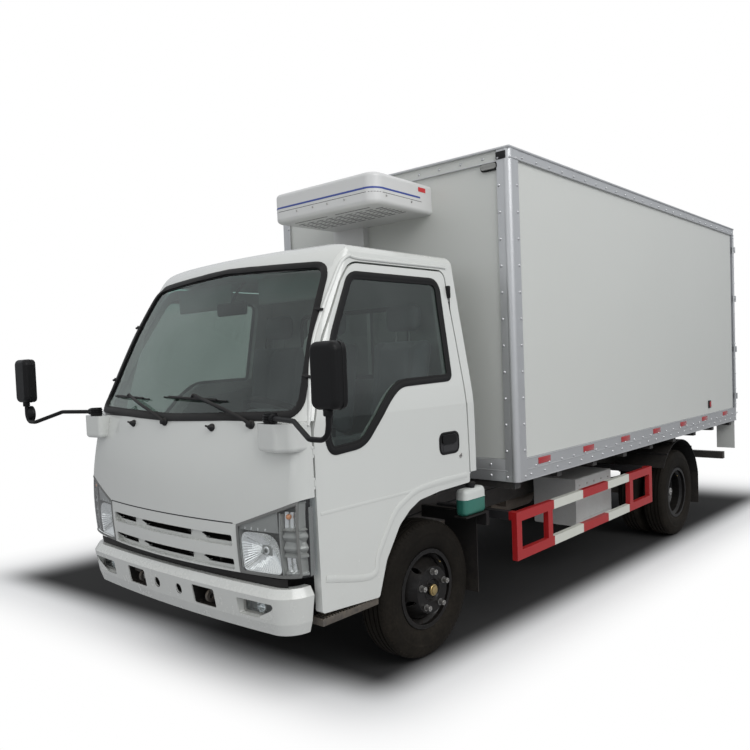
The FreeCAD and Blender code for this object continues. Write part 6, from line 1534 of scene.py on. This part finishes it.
finish("bottle", (0.66, 0.68, 0.65), 0.35, drift=0.04, grain_strength=0.1, paint=half_full, coat=0.2)
bm = bmesh.new()
add_box(bm, low, (high[0], high[1], high[2] - 0.03), 0, 0.028, 5)
add_box(bm, (low[0] + 0.015, low[1] + 0.015, middle.z - 0.004),
        (high[0] + 0.002, high[1] - 0.015, middle.z + 0.004), 0, 0.003, 2)
add_ring(bm, (middle.x, middle.y, high[2] - 0.032), (0, 0, 1), BOTTLE_CAP, 1, 28)
piece("coolant_bottle", "chassis", bm, ["bottle", "black_plastic"], ["reservoir"], smooth=45)
bm = bmesh.new()
low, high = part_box("silver_box")
print("silver box", [round(v, 3) for v in low + high])
face = high[0] if abs(high[0]) > abs(low[0]) else low[0]
for z in (high[2] - 0.10, low[2] + 0.03):
    add_box(bm, (face - 0.002, low[1] + 0.03, z), (face + 0.003, high[1] - 0.03, z + 0.006), 0, 0.002, 1)
for index in range(5):
    y = low[1] + 0.06 + index * (high[1] - low[1] - 0.12) / 4
    add_rod(bm, (face - 0.001, y, high[2] - 0.05), (face + 0.006, y, high[2] - 0.05), 0.008, 1, 6, edge=0.001)
piece("silver_box_cover", "chassis", bm, ["silver_metal", "nut_steel"], smooth=40)
bm = bmesh.new()
low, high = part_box("fuel_tank")
middle = (Vector(low) + Vector(high)) / 2
print("tank", [round(v, 3) for v in low + high])
strap = rounded_box(low[0] * 1000 - 2, low[2] * 1000 - 2, high[0] * 1000 + 2, high[2] * 1000 + 2, 50, 60)
for share in (0.22, 0.78):
    y = low[1] + (high[1] - low[1]) * share
    places = upright(strap, y)
    outward = [(place - Vector((middle.x, y, middle.z))).normalized() for place in places]
    add_tube(bm, places, 0.016, 0, 6, closed=True, flat=0.18, up=outward)
add_ring(bm, (middle.x, low[1] + 0.12, high[2]), (0, 0, 1), TANK_CAP, 1, 28)
piece("tank_straps", "chassis", bm, ["nut_steel", "black_plastic"], smooth=40)
# The brake lines' places on the left, in millimetres from the front axle: along the frame, then to the wheel.
BRAKE_MAIN = (
    (360, -700, 640), (366, -300, 600), (372, 400, 690), (368, 1600, 712), (372, 3000, 720), (330, 3360, 560))
BRAKE_END = ((330, 3360, 560), (480, 3300, 500), (560, 3260, 440))
bm = bmesh.new()
for sign in (1, -1):
    for line, steps, radius in ((BRAKE_MAIN, 8, 0.007), (BRAKE_END, 6, 0.006)):
        add_tube(bm, smooth_line([at(sign * x, y, z) for x, y, z in line], steps), radius, 0, 8)
piece("brake_lines", "chassis", bm, ["rubber"], smooth=60)
print("chassis details done")

# %% [markdown]
# Seats. Each cushion, back and head rest starts as a rounded box, remeshed to small faces. It
# settles as cloth in twenty frames with pressure inside. No place moves further than a set reach,
# so the form bulges but keeps its outline, and grooves are pressed in where the seams lie. The
# clear film over the driver's seat in the photograph isn't part of the truck and is left out.

# %% seats
finish("seat_cloth", (0.13, 0.135, 0.15), 0.85, drift=0.12, grain_scale=900, grain_strength=0.6,
       Sheen_Weight=0.4)
finish("seat_vinyl", (0.19, 0.195, 0.205), 0.5, drift=0.08, grain_scale=800, grain_strength=0.35)


CLOTH = {
    "quality": 5, "mass": 0.3, "tension_stiffness": 12, "compression_stiffness": 12, "bending_stiffness": 4,
    "use_pressure": True, "uniform_pressure_force": 4.0}
SETTLING_FRAMES, SEAM_REACH = 20, 0.03


def cushion(name, low, high, lean=0.0, fluff=0.020, seams=(), finish_name="seat_cloth"):
    """A padded form between two corners: a rounded box settled as cloth, with sunken seams."""
    bm = bmesh.new()
    add_box(bm, low, high, 0, 0.045, 4)
    mesh = bpy.data.meshes.new(name)
    bm.to_mesh(mesh)
    bm.free()
    obj = placed(name, mesh)
    remesh = obj.modifiers.new("remesh", "REMESH")
    remesh.mode = "VOXEL"
    remesh.voxel_size = 0.012
    made = worked_out(obj)
    obj.modifiers.clear()
    obj.data = made
    start = [vert.co.copy() for vert in made.vertices]
    cloth = obj.modifiers.new("cloth", "CLOTH")
    for setting, value in CLOTH.items():
        setattr(cloth.settings, setting, value)
    cloth.settings.effector_weights.gravity = 0
    cloth.point_cache.frame_start = 1
    cloth.point_cache.frame_end = SETTLING_FRAMES
    for frame_number in range(1, SETTLING_FRAMES + 1):
        scene.frame_set(frame_number)
    settled = worked_out(obj)
    obj.modifiers.clear()
    scene.frame_set(1)
    centre = Vector([(a + b) / 2 for a, b in zip(low, high)])
    half = Vector([(b - a) / 2 for a, b in zip(low, high)])
    for vert, was in zip(settled.vertices, start):
        move = vert.co - was
        if move.length > fluff:
            move = move.normalized() * fluff
        if not all(math.isfinite(part) for part in move):
            move = Vector()
        place = was + move
        for axis, where, depth in seams:
            away = abs(place[axis] - where)
            if away >= SEAM_REACH:
                continue
            for index in {0, 1, 2} - {axis}:
                offset = (place[index] - centre[index]) / half[index]
                if abs(offset) > 0.8:
                    place[index] -= math.copysign(depth * (1 - away / SEAM_REACH) ** 2, offset)
        place.y += lean * (place.z - low[2])
        vert.co = place
    obj.data = settled
    settled.materials.clear()
    settled.materials.append(M[finish_name])
    for polygon in settled.polygons:
        polygon.use_smooth = True
    smooth = obj.modifiers.new("smooth", "SMOOTH")
    smooth.iterations = 3
    final = worked_out(obj)
    obj.modifiers.clear()
    obj.data = final
    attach(obj, "cab")
    return obj


seat_low, seat_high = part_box("seats")
print("seats", [round(v, 3) for v in seat_low + seat_high])
deck, front = seat_low[2], seat_low[1]
# Each seat: its sides, the places of its head rests and the shares of its width where seams lie.
SEATS = {"driver": (0.33, 0.77, (0.55,), (0.25, 0.75)), "bench": (-0.80, 0.20, (-0.55, -0.05), (0.25, 0.5, 0.75))}
made = []
for name, (x_low, x_high, heads, shares) in SEATS.items():
    seams = [(0, x_low + (x_high - x_low) * share, 0.010) for share in shares]
    made.append(cushion(f"{name}_cushion", (x_low, front, deck + 0.012), (x_high, front + 0.46, deck + 0.145),
                        seams=seams))
    made.append(cushion(f"{name}_back", (x_low + 0.01, front + 0.40, deck + 0.13),
                        (x_high - 0.01, front + 0.50, deck + 0.70), 0.16, seams=seams))
    for head_x in heads:
        made.append(cushion(f"{name}_head_{len(made)}", (head_x - 0.12, front + 0.505, deck + 0.735),
                            (head_x + 0.12, front + 0.585, deck + 0.89), 0.05, 0.012, finish_name="seat_vinyl"))
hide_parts("seats")
KNOB = [(0.0, 0.0), (0.0, 0.035), (0.012, 0.035), (0.018, 0.028), (0.018, 0)]
bm = bmesh.new()
for x_low, x_high, heads, shares in SEATS.values():
    for head_x in heads:
        for x in (head_x - 0.05, head_x + 0.05):
            add_rod(bm, (x, front + 0.535, deck + 0.66), (x, front + 0.545, deck + 0.76), 0.006, 0, 10)
    x_low, x_high = x_low + 0.01, x_high - 0.01
    add_box(bm, (x_low, front + 0.02, deck), (x_high, front + 0.44, deck + 0.02), 1, 0.004, 2)
    for x, way in ((x_low, -1), (x_high, 1)):
        add_ring(bm, (x, front + 0.44, deck + 0.10), (way, 0, 0), KNOB, 1, 24)
piece("seat_frames", "cab", bm, ["nut_steel", "black_plastic"], smooth=40)
print("seats padded")

# %% [markdown]
# The rest of the cabin, as far as the windows show it: a hooded instrument panel, vents, a wheel
# with a padded hub, gear and hand-brake levers, sun visors, an interior mirror, belts, door cards
# with arm rests, and the rear wall's trim round its window.

# %% cabin details
finish("trim_grey", (0.30, 0.305, 0.30), 0.65, drift=0.05, grain_scale=700, grain_strength=0.35)
finish("trim_light", (0.46, 0.47, 0.455), 0.7, drift=0.05, grain_scale=500, grain_strength=0.3)
finish("screen_dark", (0.012, 0.013, 0.015), 0.12, coat=0.7, drift=0.1, grain_scale=60, grain_strength=0.05)
SWITCH = [(0, 0.0), (0, 0.019), (0.014, 0.017), (0.017, 0.012), (0.017, 0)]
HUB_PAD = [(-0.03, 0.0), (-0.03, 0.05), (-0.005, 0.072), (0.008, 0.070), (0.016, 0.055), (0.018, 0.0)]
GEAR_KNOB = [(0, 0.0), (0.0, 0.012), (0.016, 0.023), (0.036, 0.022), (0.046, 0.012), (0.048, 0)]
GAITER = [(0, 0.07), (0.012, 0.06), (0.030, 0.035), (0.05, 0.015), (0.055, 0)]
WINDER = [(0, 0.0), (0, 0.022), (0.014, 0.02), (0.016, 0)]
CARD = [
    (-780, 700), (-760, 1230), (-560, 1240), (-380, 1440), (90, 1500), (150, 1480), (160, 980), (-60, 960),
    (-300, 900), (-430, 720)]
bm = bmesh.new()
add_box(bm, at(380, -905, 1372), at(720, -790, 1440), 0, 0.03, 5)
add_box(bm, at(398, -793, 1378), at(702, -786, 1424), 1, 0.008, 3)
for x in (478, 622):
    add_ring(bm, at(x, -786, 1400), (0, 1, 0), [(0, 0.034), (0.005, 0.034), (0.005, 0.030)], 2, 32)
    add_box(bm, at(x - 1, -783.5, 1400), at(x + 1, -781.5, 1426), 3, 0.0005, 1)
for x in (-760, -620, -60, 100, 820, 300):
    add_box(bm, at(x - 48, -760, 1308), at(x + 48, -748, 1352), 1, 0.005, 2)
    for step in range(4):
        add_box(bm, at(x - 42, -752, 1313 + step * 9), at(x + 42, -744, 1316 + step * 9), 2, 0.001, 1)
add_box(bm, at(-90, -766, 1180), at(130, -744, 1296), 1, 0.006, 2)
for x in (-60, 20, 100):
    add_ring(bm, at(x, -746, 1212), (0, 1, 0), SWITCH, 2, 24)
add_box(bm, at(-70, -748, 1240), at(110, -742, 1284), 3, 0.003, 2)
piece("instruments", "cab", bm, ["interior_plastic", "screen_dark", "nut_steel", "trim_light"], smooth=40)
bm = bmesh.new()
tilt = math.radians(28)
axis = Vector((0, math.sin(tilt), math.cos(tilt)))
hub = at(550, -780, 1400)
add_ring(bm, hub + axis * 0.004, axis, HUB_PAD, 0, 40)
across, along = Vector((1, 0, 0)), axis.cross(Vector((1, 0, 0)))
rim = []
for index in range(60):
    turn = math.tau * index / 60
    rim.append(hub + across * (0.2 * math.cos(turn)) + along * (0.2 * math.sin(turn)))
add_tube(bm, rim, 0.0145, 0, 12, closed=True)
for angle in (90, 210, 330):
    turn = math.radians(angle)
    out = across * math.cos(turn) + along * math.sin(turn)
    spoke = [hub + out * 0.05 + axis * 0.004, hub + out * 0.12 - axis * 0.002, hub + out * 0.196]
    add_tube(bm, smooth_line(spoke, 5), 0.015, 0, 8, flat=0.5, up=axis)
piece("wheel_grip", "steering_wheel", bm, ["mirror_plastic"], ["steering_wheel"], smooth=50)
bm = bmesh.new()
add_tube(bm, smooth_line([at(230, -420, 1095), at(215, -470, 1250), at(230, -540, 1370)], 8), 0.009, 0, 10)
add_ring(bm, at(230, -540, 1368), (0, -0.3, 0.95), GEAR_KNOB, 0, 24)
add_ring(bm, at(230, -420, 1082), (0, 0, 1), GAITER, 0, 28)
add_tube(bm, smooth_line([at(270, -250, 1090), at(272, -360, 1150), at(274, -430, 1180)], 6), 0.013, 0, 10)
piece("levers", "cab", bm, ["black_plastic"], smooth=50)
bm = bmesh.new()
for x_low, x_high in ((120, 640), (-640, -120)):
    y = max(on_front(x, 2075, ("cab_windscreen_frame", "cab_glass"))[0].y for x in (x_low, x_high))
    add_box(bm, (x_low / 1000, y + 0.10, 1.975), (x_high / 1000, y + 0.118, 2.115), 0, 0.008, 3)
mirror_y = on_front(0, 2010, ("cab_glass",))[0].y
add_box(bm, (-0.125, mirror_y + 0.09, 1.925), (0.125, mirror_y + 0.112, 1.995), 1, 0.01, 3)
add_box(bm, (-0.118, mirror_y + 0.1115, 1.931), (0.118, mirror_y + 0.114, 1.989), 2, 0.001, 1)
stalk = [Vector((0, mirror_y + back, z)) for back, z in ((0.10, 1.99), (0.13, 2.04), (0.19, 2.11))]
add_tube(bm, smooth_line(stalk, 5), 0.007, 1, 8)
piece("visors", "cab", bm, ["trim_light", "black_plastic", "mirror_glass"], smooth=40)
bm = bmesh.new()
opening = grown(rounded_box(470, 1560, -470, 1960, 60, 60, False), 6)
for y, radius, flat in ((252, 0.013, 0.6), (286, 0.014, 0.5)):
    add_tube(bm, upright(opening, at(0, y, 0).y), radius, 0, 8, closed=True, flat=flat, up=(0, 1, 0))
for x in (-160, 160):
    add_box(bm, at(x - 8, 262, 1565), at(x + 8, 274, 1955), 0, 0.002, 1)
for sign in (1, -1):
    belt = [at(sign * 800, 215, 2020), at(sign * 815, 190, 1700), at(sign * 800, 120, 1180)]
    add_tube(bm, smooth_line(belt, 8), 0.022, 0, 6, flat=0.08, up=(0, -1, 0))
    add_box(bm, at(sign * 790, 196, 1990), at(sign * 830, 214, 2060), 0, 0.006, 2)
piece("rear_window_and_belts", "cab", bm, ["rubber"], smooth=50)
for sign, side in SIDES:
    bm = bmesh.new()
    tree = tree_of(f"door_{side}")
    inner = []
    for point in outline(CARD, [30] * len(CARD), 60):
        place = tree.ray_cast(at(0, point.x, point.y), Vector((sign, 0, 0)))[0]
        found = place is not None and abs(place.x) > 0.7
        inner.append(place if found else at(sign * 860, point.x, point.y))
    add_plate(bm, [place - Vector((sign * 0.004, 0, 0)) for place in inner], Vector((-sign * 0.012, 0, 0)), 0)
    skin = (min(abs(place.x) for place in inner) - 0.016) * 1000
    add_blocks(bm, sign, [((skin - 55, -560, 1160), (skin, -60, 1210), 0, 0.018, 4),
                          ((skin - 20, -480, 1300), (skin, -380, 1335), 1, 0.006, 3)])
    add_ring(bm, at(sign * skin, -300, 1080), (-sign, 0, 0), WINDER, 1, 20)
    piece(f"door_card_{side}", f"door_{side}", bm, ["trim_grey", "black_plastic"], smooth=40)
print("cabin furnished")
